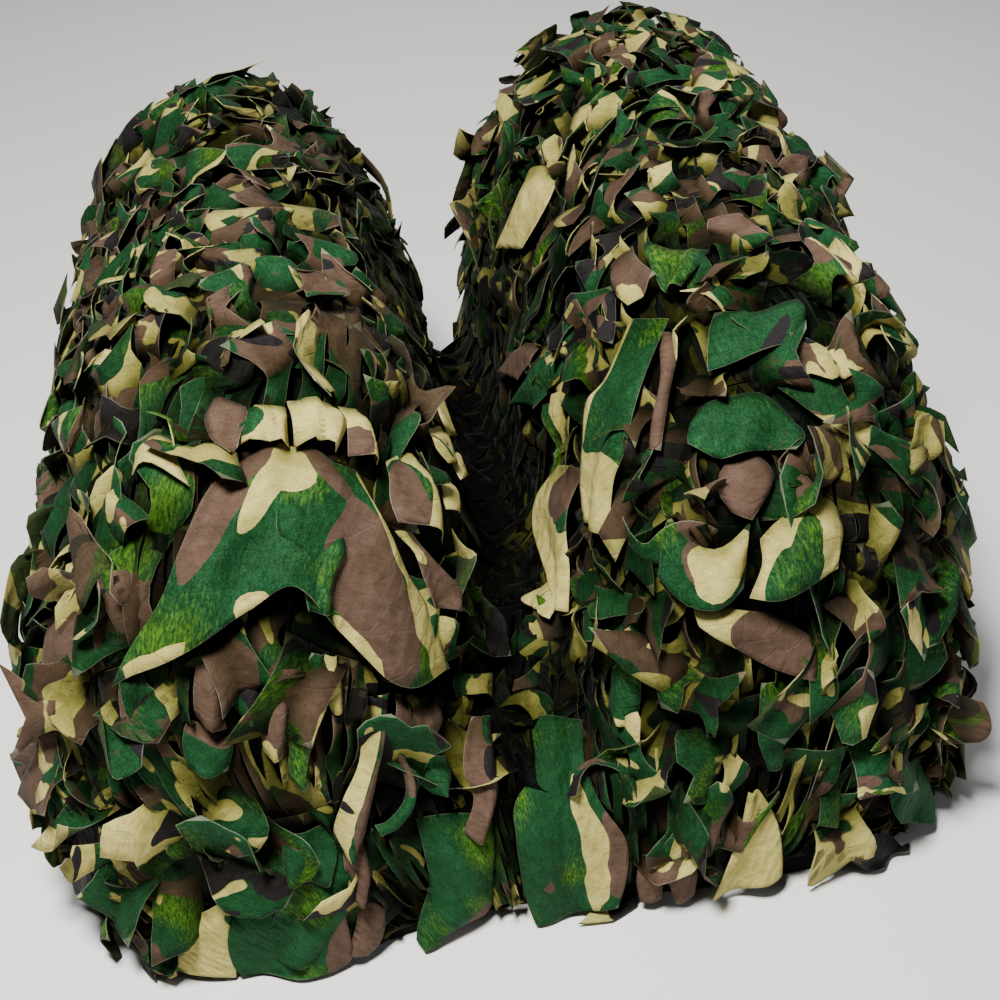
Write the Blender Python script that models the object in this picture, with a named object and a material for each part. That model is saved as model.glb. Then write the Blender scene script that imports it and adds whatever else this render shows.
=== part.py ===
"""Leaf-cut camouflage net draped over two long humps, as a hollow cover open below."""

import math
import random

import bmesh
import bpy
import numpy as np

# Overall lie of the cover (metres, +Y towards the back, floor at z = 0)
FRONT_Y = -0.633
BACK_Y = 0.863
VALLEY_BACK_Y = 0.640
SKEW = 0.053

# Hump tables: values at the front, the middle and the back
LEFT_CENTRE_X = (-0.399, -0.342, -0.305)
LEFT_HALF_WIDTH = (0.297, 0.288, 0.280)
LEFT_CREST_Z = (0.745, 0.721, 0.697)
LEFT_ROUNDING = (2.20, 5.60, 3.00)
RIGHT_CENTRE_X = (0.291, 0.328, 0.344)
RIGHT_HALF_WIDTH = (0.263, 0.261, 0.267)
RIGHT_CREST_Z = (0.730, 0.741, 0.756)
RIGHT_ROUNDING = (2.80, 7.00, 2.90)
VALLEY_CENTRE_X = (-0.044, -0.030, -0.010)
VALLEY_HALF_WIDTH = (0.571, 0.560, 0.500)
VALLEY_CREST_Z = (0.250, 0.220, 0.130)
VALLEY_ROUNDING = (7.00, 7.00, 5.00)
BLEND = 0.16

# Sheet and strips
SHEET_THICK = 0.0025
STRIP_THICK = 0.0018
STRIP_GAP = 0.0006
COLUMNS = 40
ROWS = 34
FINE = 241
FOLD_HEIGHT = 0.011

# Flaps
STRIP_ROWS = (2, 5, 8, 11, 14, 17, 20, 23, 26, 29)
FLAP_EVERY = 2
FLAP_LENGTH = (0.078, 0.112)
FLAP_LIFT = (0.030, 0.046)
FLAP_WAIST = 0.86
FLAP_TIP = 0.36
FLAP_FLOOR = 0.006
FLAP_CLEAR_LEVEL = 0.009
FLAP_DROOP = 0.34
FLAP_APART = 0.026
SEED = 41


def clear_file():
    for obj in list(bpy.data.objects):
        bpy.data.objects.remove(obj, do_unlink=True)


def along(table, t):
    """Smooth value of a three-entry table at t, 0 at the front and 1 at the back."""
    front, middle, back = table
    t = np.clip(t, 0.0, 1.0)
    return (
        front * (2 * t - 1) * (t - 1)
        + middle * 4 * t * (1 - t)
        + back * t * (2 * t - 1)
    )


def body_level(p, back_y, centre, half_width, crest, rounding):
    """Level of one rounded body: negative inside, 0 on its skin, positive outside."""
    y = p[..., 1] - SKEW * p[..., 0] * 0.6
    t = (y - FRONT_Y) / (back_y - FRONT_Y)
    across = np.abs((p[..., 0] - along(centre, t)) / along(half_width, t))
    length = np.abs(2 * t - 1)
    height = np.abs(p[..., 2] / along(crest, t))
    total = across ** rounding[0] + length ** rounding[1] + height ** rounding[2]
    return total ** 0.25 - 1.0


def blend_levels(a, b):
    h = np.clip(0.5 + 0.5 * (b - a) / BLEND, 0.0, 1.0)
    return b * (1 - h) + a * h - BLEND * h * (1 - h)


def cover_level(p):
    left = body_level(p, BACK_Y, LEFT_CENTRE_X, LEFT_HALF_WIDTH, LEFT_CREST_Z, LEFT_ROUNDING)
    right = body_level(
        p, BACK_Y, RIGHT_CENTRE_X, RIGHT_HALF_WIDTH, RIGHT_CREST_Z, RIGHT_ROUNDING
    )
    valley = body_level(
        p, VALLEY_BACK_Y, VALLEY_CENTRE_X, VALLEY_HALF_WIDTH, VALLEY_CREST_Z, VALLEY_ROUNDING
    )
    return blend_levels(blend_levels(left, right), valley)


def fan_rays(u, v):
    """Start and direction of the ray that meets the cover at cloth place (u, v)."""
    ring = np.maximum(np.abs(u), np.abs(v))
    safe = np.maximum(ring, 1e-9)
    qx = u / safe
    qy = v / safe
    corner = np.maximum((np.abs(qx) ** 5 + np.abs(qy) ** 5) ** 0.2, 1e-9)
    qx = qx / corner
    qy = qy / corner
    start = np.stack([0.40 * qx * ring, 0.06 + 0.46 * qy * ring, np.zeros_like(u)], -1)
    length = np.maximum(np.sqrt(qx ** 2 + qy ** 2), 1e-9)
    rise = np.radians(90.0) * (1 - ring)
    flat = np.cos(rise) / length
    way = np.stack([qx * flat, qy * flat, np.sin(rise)], -1)
    return start, way


def meet_cover(start, way):
    """Outermost crossing of each ray with the cover, by stepping in and halving."""
    steps = np.linspace(1.6, 0.0, 161)
    outer = np.full(start.shape[:-1], steps[0])
    inner = np.zeros(start.shape[:-1])
    found = np.zeros(start.shape[:-1], dtype=bool)
    for k in range(1, len(steps)):
        level = cover_level(start + way * steps[k])
        hit = (level <= 0) & ~found
        outer = np.where(hit, steps[k - 1], outer)
        inner = np.where(hit, steps[k], inner)
        found |= hit
    for _ in range(22):
        mid = (outer + inner) / 2
        inside = cover_level(start + way * mid[..., None]) <= 0
        inner = np.where(inside, mid, inner)
        outer = np.where(inside, outer, mid)
    return start + way * outer[..., None]


def spread_evenly(grid, count):
    """Resample every line of the grid along its first axis at even arc lengths."""
    out = np.empty((count + 1,) + grid.shape[1:])
    for j in range(grid.shape[1]):
        line = grid[:, j]
        run = np.concatenate([[0.0], np.cumsum(np.linalg.norm(np.diff(line, axis=0), axis=1))])
        want = np.linspace(0.0, run[-1], count + 1)
        for axis in range(3):
            out[:, j, axis] = np.interp(want, run, line[:, axis])
    return out


def relax(grid, rounds):
    """Even out the spacing inside the sheet, leaving its hem where it is."""
    for _ in range(rounds):
        near = grid[:-2, 1:-1] + grid[2:, 1:-1] + grid[1:-1, :-2] + grid[1:-1, 2:]
        grid[1:-1, 1:-1] = 0.55 * grid[1:-1, 1:-1] + 0.45 * near / 4
    return grid


def fold_height(grid):
    """Long soft folds, deepest low on the sides and slight along the tops."""
    x = grid[..., 0]
    y = grid[..., 1]
    z = grid[..., 2]
    wave = (
        np.sin(17.0 * x + 3.0 * np.sin(5.0 * y))
        + 0.8 * np.sin(13.0 * y + 2.0 * np.sin(6.0 * x) + 1.1)
        + 0.6 * np.sin(9.0 * (x - y) + 7.0 * z)
    )
    return FOLD_HEIGHT * wave / 2.4 * (1.0 - 0.45 * np.clip(z / 0.7, 0.0, 1.0))


def rim_path(columns, rows):
    path = [(i, 0) for i in range(columns + 1)]
    path += [(columns, j) for j in range(1, rows + 1)]
    path += [(i, rows) for i in range(columns - 1, -1, -1)]
    path += [(0, j) for j in range(rows - 1, -1, -1)]
    return path


def sheet_normals(grid):
    du = np.empty_like(grid)
    dv = np.empty_like(grid)
    du[1:-1] = grid[2:] - grid[:-2]
    du[0] = grid[1] - grid[0]
    du[-1] = grid[-1] - grid[-2]
    dv[:, 1:-1] = grid[:, 2:] - grid[:, :-2]
    dv[:, 0] = grid[:, 1] - grid[:, 0]
    dv[:, -1] = grid[:, -1] - grid[:, -2]
    normal = np.cross(du, dv)
    path = rim_path(grid.shape[0] - 1, grid.shape[1] - 1)[:-1]
    for k, (i, j) in enumerate(path):
        ahead = grid[path[(k + 1) % len(path)]]
        behind = grid[path[k - 1]]
        normal[i, j] = (ahead[1] - behind[1], behind[0] - ahead[0], 0.0)
    return normal / np.linalg.norm(normal, axis=-1, keepdims=True)


def drape():
    """Outer skin of the net as a (columns + 1) x (rows + 1) grid of points."""
    line = np.linspace(-1.0, 1.0, FINE)
    u, v = np.meshgrid(line, line, indexing="ij")
    start, way = fan_rays(u, v)
    grid = meet_cover(start, way)
    grid = spread_evenly(grid, COLUMNS)
    grid = spread_evenly(grid.transpose(1, 0, 2), ROWS).transpose(1, 0, 2)
    grid = relax(grid, 3)
    normal = sheet_normals(grid)
    grid = grid + normal * fold_height(grid)[..., None]
    rim = np.zeros(grid.shape[:2], dtype=bool)
    rim[0] = rim[-1] = rim[:, 0] = rim[:, -1] = True
    grid[rim, 2] = 0.0
    return grid


def add_solid(name, verts, faces):
    mesh = bpy.data.meshes.new(name)
    mesh.from_pydata([tuple(v) for v in verts], [], faces)
    bm = bmesh.new()
    bm.from_mesh(mesh)
    bmesh.ops.recalc_face_normals(bm, faces=bm.faces)
    if bm.calc_volume(signed=True) < 0:
        bmesh.ops.reverse_faces(bm, faces=bm.faces)
    bm.to_mesh(mesh)
    bm.free()
    obj = bpy.data.objects.new(name, mesh)
    bpy.context.collection.objects.link(obj)
    return obj


def skin_faces(lower, upper, columns, rows):
    """Two triangulated skins and the edge that closes them; both ids are grids."""
    faces = []
    for i in range(columns):
        for j in range(rows):
            a, b = lower[i][j], lower[i + 1][j]
            c, d = lower[i + 1][j + 1], lower[i][j + 1]
            faces += [(a, c, b), (a, d, c)]
            a, b = upper[i][j], upper[i + 1][j]
            c, d = upper[i + 1][j + 1], upper[i][j + 1]
            faces += [(a, b, c), (a, c, d)]
    return faces


def edge_faces(path, lower, upper, skipped):
    """Quads closing the rim along a path of (i, j) places; some are left for flaps."""
    faces = []
    for (i0, j0), (i1, j1) in zip(path, path[1:]):
        if ((i0, j0), (i1, j1)) in skipped:
            continue
        quad = (lower[i0][j0], lower[i1][j1], upper[i1][j1], upper[i0][j0])
        faces.append(quad)
    return faces


def id_grid(first, columns, rows):
    return [[first + i * (rows + 1) + j for j in range(rows + 1)] for i in range(columns + 1)]


def build_netting(skin, normal):
    inner = skin - normal * SHEET_THICK
    verts = np.concatenate([inner.reshape(-1, 3), skin.reshape(-1, 3)])
    lower = id_grid(0, COLUMNS, ROWS)
    upper = id_grid((COLUMNS + 1) * (ROWS + 1), COLUMNS, ROWS)
    faces = skin_faces(lower, upper, COLUMNS, ROWS)
    faces += edge_faces(rim_path(COLUMNS, ROWS), lower, upper, set())
    add_solid("netting", verts, faces)


def flap_sections(base, down, out, side, rng):
    """Two further cross-sections of a flap hung from the four base points."""
    length = rng.uniform(*FLAP_LENGTH)
    lift = rng.uniform(*FLAP_LIFT)
    sway = rng.uniform(-0.018, 0.018)
    droop = np.array([0.0, 0.0, -1.0])
    droop = (droop - out * droop.dot(out)) * length * FLAP_DROOP
    centre = base.mean(axis=0)
    sections = []
    for part, width, rise in ((0.52, FLAP_WAIST, 0.75), (1.0, FLAP_TIP, 1.0)):
        move = down * length * part + out * lift * rise + side * sway * part + droop * part
        sections.append(centre + (base - centre) * width + move)
    return sections


def flap_samples(base, sections):
    """Points spread over a flap, from its root to its far end."""
    rings = [base] + sections
    points = []
    for near, far in zip(rings, rings[1:]):
        for part in (0.4, 0.7, 1.0):
            ring = near + (far - near) * part
            points += [ring[0], ring[1], (ring[0] + ring[1]) / 2]
    return np.array(points)


def flap_is_clear(samples, others):
    """A flap is kept where it stands free of the floor, the cover and other pieces."""
    if samples[:, 2].min() < FLAP_FLOOR:
        return False
    if cover_level(samples[3:]).min() < FLAP_CLEAR_LEVEL:
        return False
    for cloud in others:
        apart = np.linalg.norm(samples[:, None] - cloud[None], axis=-1).min()
        if apart < FLAP_APART:
            return False
    return True


def hang_flap(verts, faces, quad, sections):
    """Carry a rim quad out through its sections and close the far end."""
    ring = list(quad)
    for section in sections:
        new = list(range(len(verts), len(verts) + 4))
        verts.extend(section)
        for k in range(4):
            n = (k + 1) % 4
            faces.append((ring[k], ring[n], new[n], new[k]))
        ring = new
    faces.append(tuple(ring))


def strip_cloud(row, skin):
    """Points over a whole strip, to keep the flaps of other strips off it."""
    near = skin[1:COLUMNS, row]
    far = skin[1:COLUMNS, row + 1]
    lines = [near + (far - near) * part for part in (0.0, 0.33, 0.67, 1.0)]
    rows = np.concatenate(lines)
    middles = np.concatenate([(line[1:] + line[:-1]) / 2 for line in lines])
    return np.concatenate([rows, middles])


def build_strip(number, row, skin, normal, others, rng):
    """One sewn strip over a row of the sheet, with its flaps on the lower side."""
    first, last = 1, COLUMNS - 1
    columns = last - first
    rows = slice(row, row + 2)
    base = skin[first:last + 1, rows]
    out = normal[first:last + 1, rows]
    under = base + out * STRIP_GAP
    over = base + out * (STRIP_GAP + STRIP_THICK)
    verts = [v for v in under.reshape(-1, 3)] + [v for v in over.reshape(-1, 3)]
    lower = id_grid(0, columns, 1)
    upper = id_grid((columns + 1) * 2, columns, 1)
    faces = skin_faces(lower, upper, columns, 1)
    edge = 0 if row < ROWS / 2 else 1
    path = rim_path(columns, 1)
    flaps = []
    kept = []
    skipped = set()
    for i in range(1 + number % 2, columns - 1, FLAP_EVERY):
        ids = (lower[i][edge], lower[i + 1][edge], upper[i + 1][edge], upper[i][edge])
        corners = np.array([verts[k] for k in ids])
        across = base[i + 1, edge] - base[i, edge]
        side = across / np.linalg.norm(across)
        down = base[i:i + 2, edge].mean(axis=0) - base[i:i + 2, 1 - edge].mean(axis=0)
        down -= side * down.dot(side)
        down /= np.linalg.norm(down)
        lift = out[i:i + 2, edge].mean(axis=0)
        lift /= np.linalg.norm(lift)
        for _ in range(4):
            sections = flap_sections(corners, down, lift, side, rng)
            samples = flap_samples(corners, sections)
            if flap_is_clear(samples, others + kept):
                flaps.append((ids, sections))
                kept.append(samples)
                skipped.add(((i, edge), (i + 1, edge)))
                skipped.add(((i + 1, edge), (i, edge)))
                break
    faces += edge_faces(path, lower, upper, skipped)
    for ids, sections in flaps:
        hang_flap(verts, faces, ids, sections)
    add_solid(f"garnish_strip_{number:02d}", verts, faces)
    return kept


def centre_on_floor():
    """Move every mesh alike, so that the bounding box stands centred on the origin."""
    low = np.full(3, math.inf)
    high = np.full(3, -math.inf)
    for obj in bpy.data.objects:
        points = np.array([v.co[:] for v in obj.data.vertices])
        low = np.minimum(low, points.min(axis=0))
        high = np.maximum(high, points.max(axis=0))
    shift = np.array([-(low[0] + high[0]) / 2, -(low[1] + high[1]) / 2, -low[2]])
    for obj in bpy.data.objects:
        for vertex in obj.data.vertices:
            vertex.co.x += shift[0]
            vertex.co.y += shift[1]
            vertex.co.z += shift[2]
    print("moved by", [round(float(s), 5) for s in shift])
    print("size", [round(float(s), 4) for s in high - low])


def main():
    clear_file()
    rng = random.Random(SEED)
    skin = drape()
    normal = sheet_normals(skin)
    build_netting(skin, normal)
    hung = []
    for k, row in enumerate(STRIP_ROWS):
        strips = [strip_cloud(other, skin) for other in STRIP_ROWS if other != row]
        hung += build_strip(k + 1, row, skin, normal, strips + hung, rng)
    print("flaps", len(hung))
    centre_on_floor()


main()
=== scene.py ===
import functools
import math
import bpy
import numpy as np
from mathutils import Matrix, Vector
from mathutils.bvhtree import BVHTree


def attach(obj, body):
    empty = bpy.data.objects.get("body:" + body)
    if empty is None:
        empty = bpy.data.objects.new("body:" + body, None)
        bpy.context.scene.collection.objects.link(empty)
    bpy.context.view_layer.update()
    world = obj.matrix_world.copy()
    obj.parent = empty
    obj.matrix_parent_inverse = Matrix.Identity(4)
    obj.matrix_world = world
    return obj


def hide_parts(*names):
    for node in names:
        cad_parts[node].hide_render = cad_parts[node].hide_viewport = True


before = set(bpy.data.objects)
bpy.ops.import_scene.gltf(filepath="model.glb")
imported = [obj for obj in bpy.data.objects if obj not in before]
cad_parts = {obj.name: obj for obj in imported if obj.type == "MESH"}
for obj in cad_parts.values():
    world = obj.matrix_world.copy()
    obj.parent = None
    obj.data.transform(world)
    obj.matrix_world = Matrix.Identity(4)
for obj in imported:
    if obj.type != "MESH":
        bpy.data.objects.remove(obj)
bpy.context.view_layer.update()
print("frame loaded")

# camera, fitted to the photograph's outline
camera = {
    "target": (0.0384, -0.0991, 0.2181), "azimuth": -11.01, "elevation": 35.06,
    "distance": 2.836, "angle": 31.07,
}


def backOf(c):  # the way from the camera's target to the camera
    a, e = math.radians(c["azimuth"]), math.radians(c["elevation"])
    return np.array((math.sin(a) * math.cos(e), -math.cos(a) * math.cos(e), math.sin(e)))


def placeCamera(c):
    bpy.ops.object.camera_add()
    cam = bpy.context.object
    cam.name = "camera"
    back = Vector(backOf(c))
    cam.location = Vector(c["target"]) + back * c["distance"]
    cam.rotation_euler = (-back).to_track_quat("-Z", "Y").to_euler()
    cam.data.angle = math.radians(c["angle"])
    bpy.context.scene.camera = cam


placeCamera(camera)
print("camera placed")

# the cloth's surface, read off the frame's net by rays
cloth = {
    "wide": 2.52, "long": 2.03, "columns": 200, "rows": 170, "softened": 5,
    "rays": 261, "centre": (0.022, -0.050), "inner": (0.40, 0.46), "corner": 5, "floor": 0.0005,
    "outside": 1.6,
}


def treeOf(obj):
    verts = [v.co[:] for v in obj.data.vertices]
    faces = [p.vertices[:] for p in obj.data.polygons]
    return BVHTree.FromPolygons(verts, faces)


def meetNet(tree, f):  # the rays come in from outside, level at the hem and straight down in the middle
    last = f["rays"] - 1
    grid = np.zeros((f["rays"], f["rays"], 3))
    for i, j in np.ndindex(f["rays"], f["rays"]):
        u, v = 2 * i / last - 1, 2 * j / last - 1
        ring = max(abs(u), abs(v), 1e-6)
        qx, qy = (u / ring, v / ring) if ring > 1e-5 else (1e-3, 1e-3)
        corner = (abs(qx) ** f["corner"] + abs(qy) ** f["corner"]) ** (1 / f["corner"])
        qx, qy = qx / corner, qy / corner
        rise = math.radians(90) * (1 - ring)
        flat = math.cos(rise) / math.hypot(qx, qy)
        way = Vector((qx * flat, qy * flat, math.sin(rise)))
        x, y = (c + reach * q * ring for c, reach, q in zip(f["centre"], f["inner"], (qx, qy)))
        start = Vector((x, y, f["floor"]))
        hit = tree.ray_cast(start + way * f["outside"], -way)[0]
        grid[i, j] = start if hit is None else hit
    return grid


def spreadEvenly(grid, count):
    out = np.empty((count + 1,) + grid.shape[1:])
    for j in range(grid.shape[1]):
        line = grid[:, j]
        run = np.concatenate([[0], np.cumsum(np.linalg.norm(np.diff(line, axis=0), axis=1))])
        want = np.linspace(0, run[-1], count + 1)
        for k in range(3):
            out[:, j, k] = np.interp(want, run, line[:, k])
    return out


def soften(grid, rounds):
    for _ in range(rounds):
        near = grid[:-2, 1:-1] + grid[2:, 1:-1] + grid[1:-1, :-2] + grid[1:-1, 2:]
        grid[1:-1, 1:-1] = 0.5 * grid[1:-1, 1:-1] + near / 8
    return grid


def gridNormals(grid):
    du, dv = np.gradient(grid, axis=0), np.gradient(grid, axis=1)
    n = np.cross(du, dv)
    n /= np.maximum(np.linalg.norm(n, axis=-1, keepdims=True), 1e-12)
    n[0], n[-1], n[:, 0], n[:, -1] = n[1], n[-2], n[:, 1], n[:, -2]
    for edge in (n[0], n[-1], n[:, 0], n[:, -1]):
        edge[:, 2] = 0
        edge /= np.maximum(np.linalg.norm(edge, axis=-1, keepdims=True), 1e-12)
    return n


surface = meetNet(treeOf(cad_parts["netting"]), cloth)
surface = spreadEvenly(surface, cloth["columns"])
surface = spreadEvenly(surface.transpose(1, 0, 2), cloth["rows"]).transpose(1, 0, 2)
surface = soften(surface, cloth["softened"])
surface[0, :, 2] = surface[-1, :, 2] = surface[:, 0, 2] = surface[:, -1, 2] = 0
normals = gridNormals(surface)
print("surface read", surface.min(axis=(0, 1)), surface.max(axis=(0, 1)))


def onCloth(grid, s, t):  # the grid's value at a place s across and t along the cloth, both 0 to 1
    x = np.clip(s, 0, 1) * (grid.shape[0] - 1)
    y = np.clip(t, 0, 1) * (grid.shape[1] - 1)
    i = np.minimum(x.astype(int), grid.shape[0] - 2)
    j = np.minimum(y.astype(int), grid.shape[1] - 2)
    fx, fy = (x - i)[..., None], (y - j)[..., None]
    low = grid[i, j] * (1 - fx) + grid[i + 1, j] * fx
    high = grid[i, j + 1] * (1 - fx) + grid[i + 1, j + 1] * fx
    return low * (1 - fy) + high * fy


def quadAreas(grid):  # the area of each cell of a flat grid, or of one in space
    p, q = grid[1:, 1:] - grid[:-1, :-1], grid[:-1, 1:] - grid[1:, :-1]
    if grid.shape[-1] == 2:
        return np.abs(p[..., 0] * q[..., 1] - p[..., 1] * q[..., 0]) / 2
    return np.linalg.norm(np.cross(p, q), axis=-1) / 2


def meshFrom(name, verts, faces, uvs, kinds, attributes):  # the faces of kind 2 are cut edges, and stay flat
    mesh = bpy.data.meshes.new(name)
    mesh.vertices.add(len(verts))
    mesh.vertices.foreach_set("co", np.asarray(verts, np.float32).ravel())
    mesh.loops.add(faces.size)
    mesh.polygons.add(len(faces))
    mesh.loops.foreach_set("vertex_index", faces.astype(np.int32).ravel())
    mesh.polygons.foreach_set("loop_start", np.arange(0, faces.size, 4, dtype=np.int32))
    mesh.polygons.foreach_set("material_index", kinds.astype(np.int32))
    mesh.polygons.foreach_set("use_smooth", kinds != 2)
    layer = mesh.uv_layers.new(name="UVMap")
    layer.data.foreach_set("uv", np.asarray(uvs, np.float32)[faces.ravel()].ravel())
    for key, values in attributes.items():
        kind, field = ("FLOAT", "value") if values.ndim == 1 else ("FLOAT_COLOR", "color")
        data = mesh.attributes.new(key, kind, "POINT").data
        data.foreach_set(field, values.astype(np.float32).ravel())
    mesh.update(calc_edges=True)
    mesh.validate()
    obj = bpy.data.objects.new(name, mesh)
    bpy.context.scene.collection.objects.link(obj)
    return obj


# leaf-cut flaps, modelled flat once each: left and right edges from root to tip, as shares of the length
flapShapes = {
    "squared": {
        "left": (-.31, -.31, -.29, -.28, -.28, -.30, -.32, -.34, -.36),
        "right": (.30, .29, .28, .27, .27, .28, .31, .33, .35), "notch": 0, "slant": .30},
    "kite": {
        "left": (-.22, -.26, -.31, -.37, -.41, -.34, -.24, -.13, -.02),
        "right": (.24, .26, .29, .31, .32, .33, .25, .14, .03), "notch": 0, "slant": .06},
    "horned": {
        "left": (-.25, -.23, -.21, -.21, -.24, -.30, -.37, -.43, -.46),
        "right": (.25, .24, .23, .24, .27, .32, .37, .40, .41), "notch": .34, "slant": .06},
    "anvil": {
        "left": (-.32, -.27, -.20, -.16, -.17, -.26, -.40, -.44, -.38),
        "right": (.32, .26, .19, .15, .17, .28, .39, .40, .32), "notch": -.04, "slant": .10},
    "fishtail": {
        "left": (-.30, -.26, -.21, -.17, -.15, -.19, -.28, -.38, -.47),
        "right": (.30, .27, .23, .19, .18, .22, .29, .37, .43), "notch": .24, "slant": -.12},
    "torn": {
        "left": (-.30, -.35, -.37, -.29, -.21, -.20, -.27, -.31, -.19),
        "right": (.28, .24, .20, .22, .31, .39, .35, .21, .09), "notch": 0, "slant": -.20},
    "blade": {
        "left": (-.27, -.25, -.23, -.23, -.23, -.21, -.17, -.10, -.01),
        "right": (.27, .26, .25, .26, .26, .24, .18, .10, .02), "notch": 0, "slant": .16},
    "tongue": {
        "left": (-.25, -.25, -.27, -.30, -.32, -.33, -.31, -.25, -.11),
        "right": (.25, .25, .26, .28, .31, .33, .33, .27, .12), "notch": 0, "slant": 0},
    "hook": {
        "left": (-.30, -.30, -.27, -.21, -.12, -.02, .08, .18, .34),
        "right": (.28, .30, .34, .39, .45, .50, .54, .55, .46), "notch": 0, "slant": -.15},
    "broad": {
        "left": (-.44, -.45, -.42, -.40, -.43, -.50, -.54, -.44, -.30),
        "right": (.44, .42, .39, .41, .48, .54, .49, .38, .26), "notch": .14, "slant": -.14},
}
flapGrid = (6, 8)


def modelFlap(shape):
    nx, ny = flapGrid
    bpy.ops.mesh.primitive_grid_add(x_subdivisions=nx, y_subdivisions=ny, size=2)
    obj = bpy.context.object
    flat = np.empty((nx + 1, ny + 1, 2))
    stations = np.linspace(0, 1, len(shape["left"]))
    for vertex in obj.data.vertices:
        i = round((vertex.co.x + 1) / 2 * nx)
        j = round((vertex.co.y + 1) / 2 * ny)
        side, t = i / nx, j / ny
        left, right = np.interp(t, stations, shape["left"]), np.interp(t, stations, shape["right"])
        middle = 1 - abs(2 * side - 1)
        flat[i, j, 0] = left + (right - left) * side
        flat[i, j, 1] = t - shape["notch"] * middle * t ** 5 + shape["slant"] * (side - 0.5) * t ** 3
    bpy.data.objects.remove(obj)
    return flat


masters = [modelFlap(shape) for shape in flapShapes.values()]
masters += [m[::-1] * (-1, 1) for m in masters]
masterAreas = np.array([quadAreas(m).sum() for m in masters])
print("flap shapes", dict(zip(flapShapes, masterAreas.round(3))))


def closedFaces(nx, ny):  # faces of a thin closed piece: front, back and then the rim
    ids = np.arange((nx + 1) * (ny + 1)).reshape(nx + 1, ny + 1)
    a, b, c, d = ids[:-1, :-1], ids[1:, :-1], ids[1:, 1:], ids[:-1, 1:]
    front = np.stack([a, b, c, d], -1).reshape(-1, 4)
    rear = np.stack([d, c, b, a], -1).reshape(-1, 4) + ids.size
    path = list(ids[:, 0]) + list(ids[-1, 1:]) + list(ids[-2::-1, -1]) + list(ids[0, -2::-1])
    rim = [(q, p, p + ids.size, q + ids.size) for p, q in zip(path, path[1:])]
    faces = np.concatenate([front, rear, np.array(rim)])
    kinds = np.array([0] * len(front) + [1] * len(rear) + [2] * len(rim))
    edge = np.zeros(ids.shape)
    edge[0], edge[-1], edge[:, 0], edge[:, -1] = 1, 1, 1, 1
    return faces, kinds, np.concatenate([edge.ravel(), edge.ravel()])


def thicken(points, thick):  # both skins of every thin grid in points
    du, dv = np.gradient(points, axis=1), np.gradient(points, axis=2)
    n = np.cross(du, dv)
    n /= np.maximum(np.linalg.norm(n, axis=-1, keepdims=True), 1e-9)
    count = len(points)
    front = (points + n * thick / 2).reshape(count, -1, 3)
    back = (points - n * thick / 2).reshape(count, -1, 3)
    return np.concatenate([front, back], axis=1)


def smoothStep(x):
    x = np.clip(x, 0, 1)
    return x * x * (3 - 2 * x)


# how flaps are rolled: stations along them in shares of their length, a fold's width, and their least height
rolling = {"from": -0.7, "gap": 0.035, "steps": 68, "fold": 0.11, "curlFrom": 0.5, "least": 0.0035}


def rollUp(col, r):  # how far ahead, how high and how turned the cloth is at each station
    u = r["from"] + r["gap"] * np.arange(r["steps"])[None]
    angle = col["bend"] * np.maximum(u, 0) + col["fold"] * smoothStep((u - col["foldAt"]) / r["fold"] + 0.5)
    angle = angle + col["curl"] * np.maximum(u - r["curlFrom"], 0) ** 2 * 4
    angle = angle - col["fold"] * smoothStep(-col["foldAt"] / r["fold"] + 0.5)
    root = round(-r["from"] / r["gap"])
    ahead, rise = np.cumsum(np.cos(angle), axis=1) * r["gap"], np.cumsum(np.sin(angle), axis=1) * r["gap"]
    return ahead - ahead[:, root:root + 1], rise - rise[:, root:root + 1], angle


def readAlong(table, place):  # the value between two stations
    k = place.astype(int)
    part = place - k
    return np.take_along_axis(table, k, 1) * (1 - part) + np.take_along_axis(table, k + 1, 1) * part


def bendFlaps(flat, f, r):  # each flap, one row of settings in f, is rolled like paper about a slanting line
    col = {key: values[:, None] for key, values in f.items() if values.ndim == 1}
    a, b = flat[..., 0].ravel()[None] * col["width"], flat[..., 1].ravel()[None]
    free = np.minimum(1, b * 3)  # 0 at the seam
    c, s = np.cos(col["slope"]), np.sin(col["slope"])
    along, across = b * c + a * s, a * c - b * s
    place = np.clip((along - r["from"]) / r["gap"], 0, r["steps"] - 1.001)
    forward, upward, turn = (readAlong(table, place) for table in rollUp(col, r))
    n, d, lift = f["normal"], f["way"], col["lift"]
    e = np.cross(d, n)
    d1, n1 = d * np.cos(lift) + n * np.sin(lift), n * np.cos(lift) - d * np.sin(lift)
    ahead3, side3 = (d1 * c + e * s)[:, None], (e * c - d1 * s)[:, None]
    local = n1[:, None] * np.cos(turn)[..., None] - ahead3 * np.sin(turn)[..., None]
    puff = col["cup"] * a ** 2 * 4 + col["warp"] * a * b + col["crease"] * np.abs(a) * free
    puff = puff + col["wave"] * np.sin(col["phase"] + 6 * b + 5 * a) * free
    shape = side3 * across[..., None] + ahead3 * forward[..., None] + n1[:, None] * upward[..., None]
    shape = (shape + local * puff[..., None]) * col["size"][..., None]
    above = (shape * n[:, None]).sum(-1)
    lifted = 0.5 * (above + np.sqrt(above ** 2 + 4 * (r["least"] * free) ** 2))
    lifted = flaps["highest"] * np.tanh(lifted / flaps["highest"]) * col["press"]
    points = f["place"][:, None] + n[:, None] * (lifted - above + col["raise"])[..., None] + shape
    return points.reshape(-1, *flat.shape[:2], 3), lifted + col["raise"]


offFloor = 0.003


def keepOffFloor(points, roots):  # presses the low part of a flap together, so that it ends above the floor
    lowest = points[..., 2].min(axis=(1, 2))
    top = roots[:, 2]
    keep = np.where(lowest < offFloor, (top - offFloor) / np.maximum(top - lowest, 1e-6), 1.0)
    below = np.minimum(points[..., 2] - top[:, None, None], 0)
    points[..., 2] += below * (keep[:, None, None] - 1)
    return points


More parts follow.
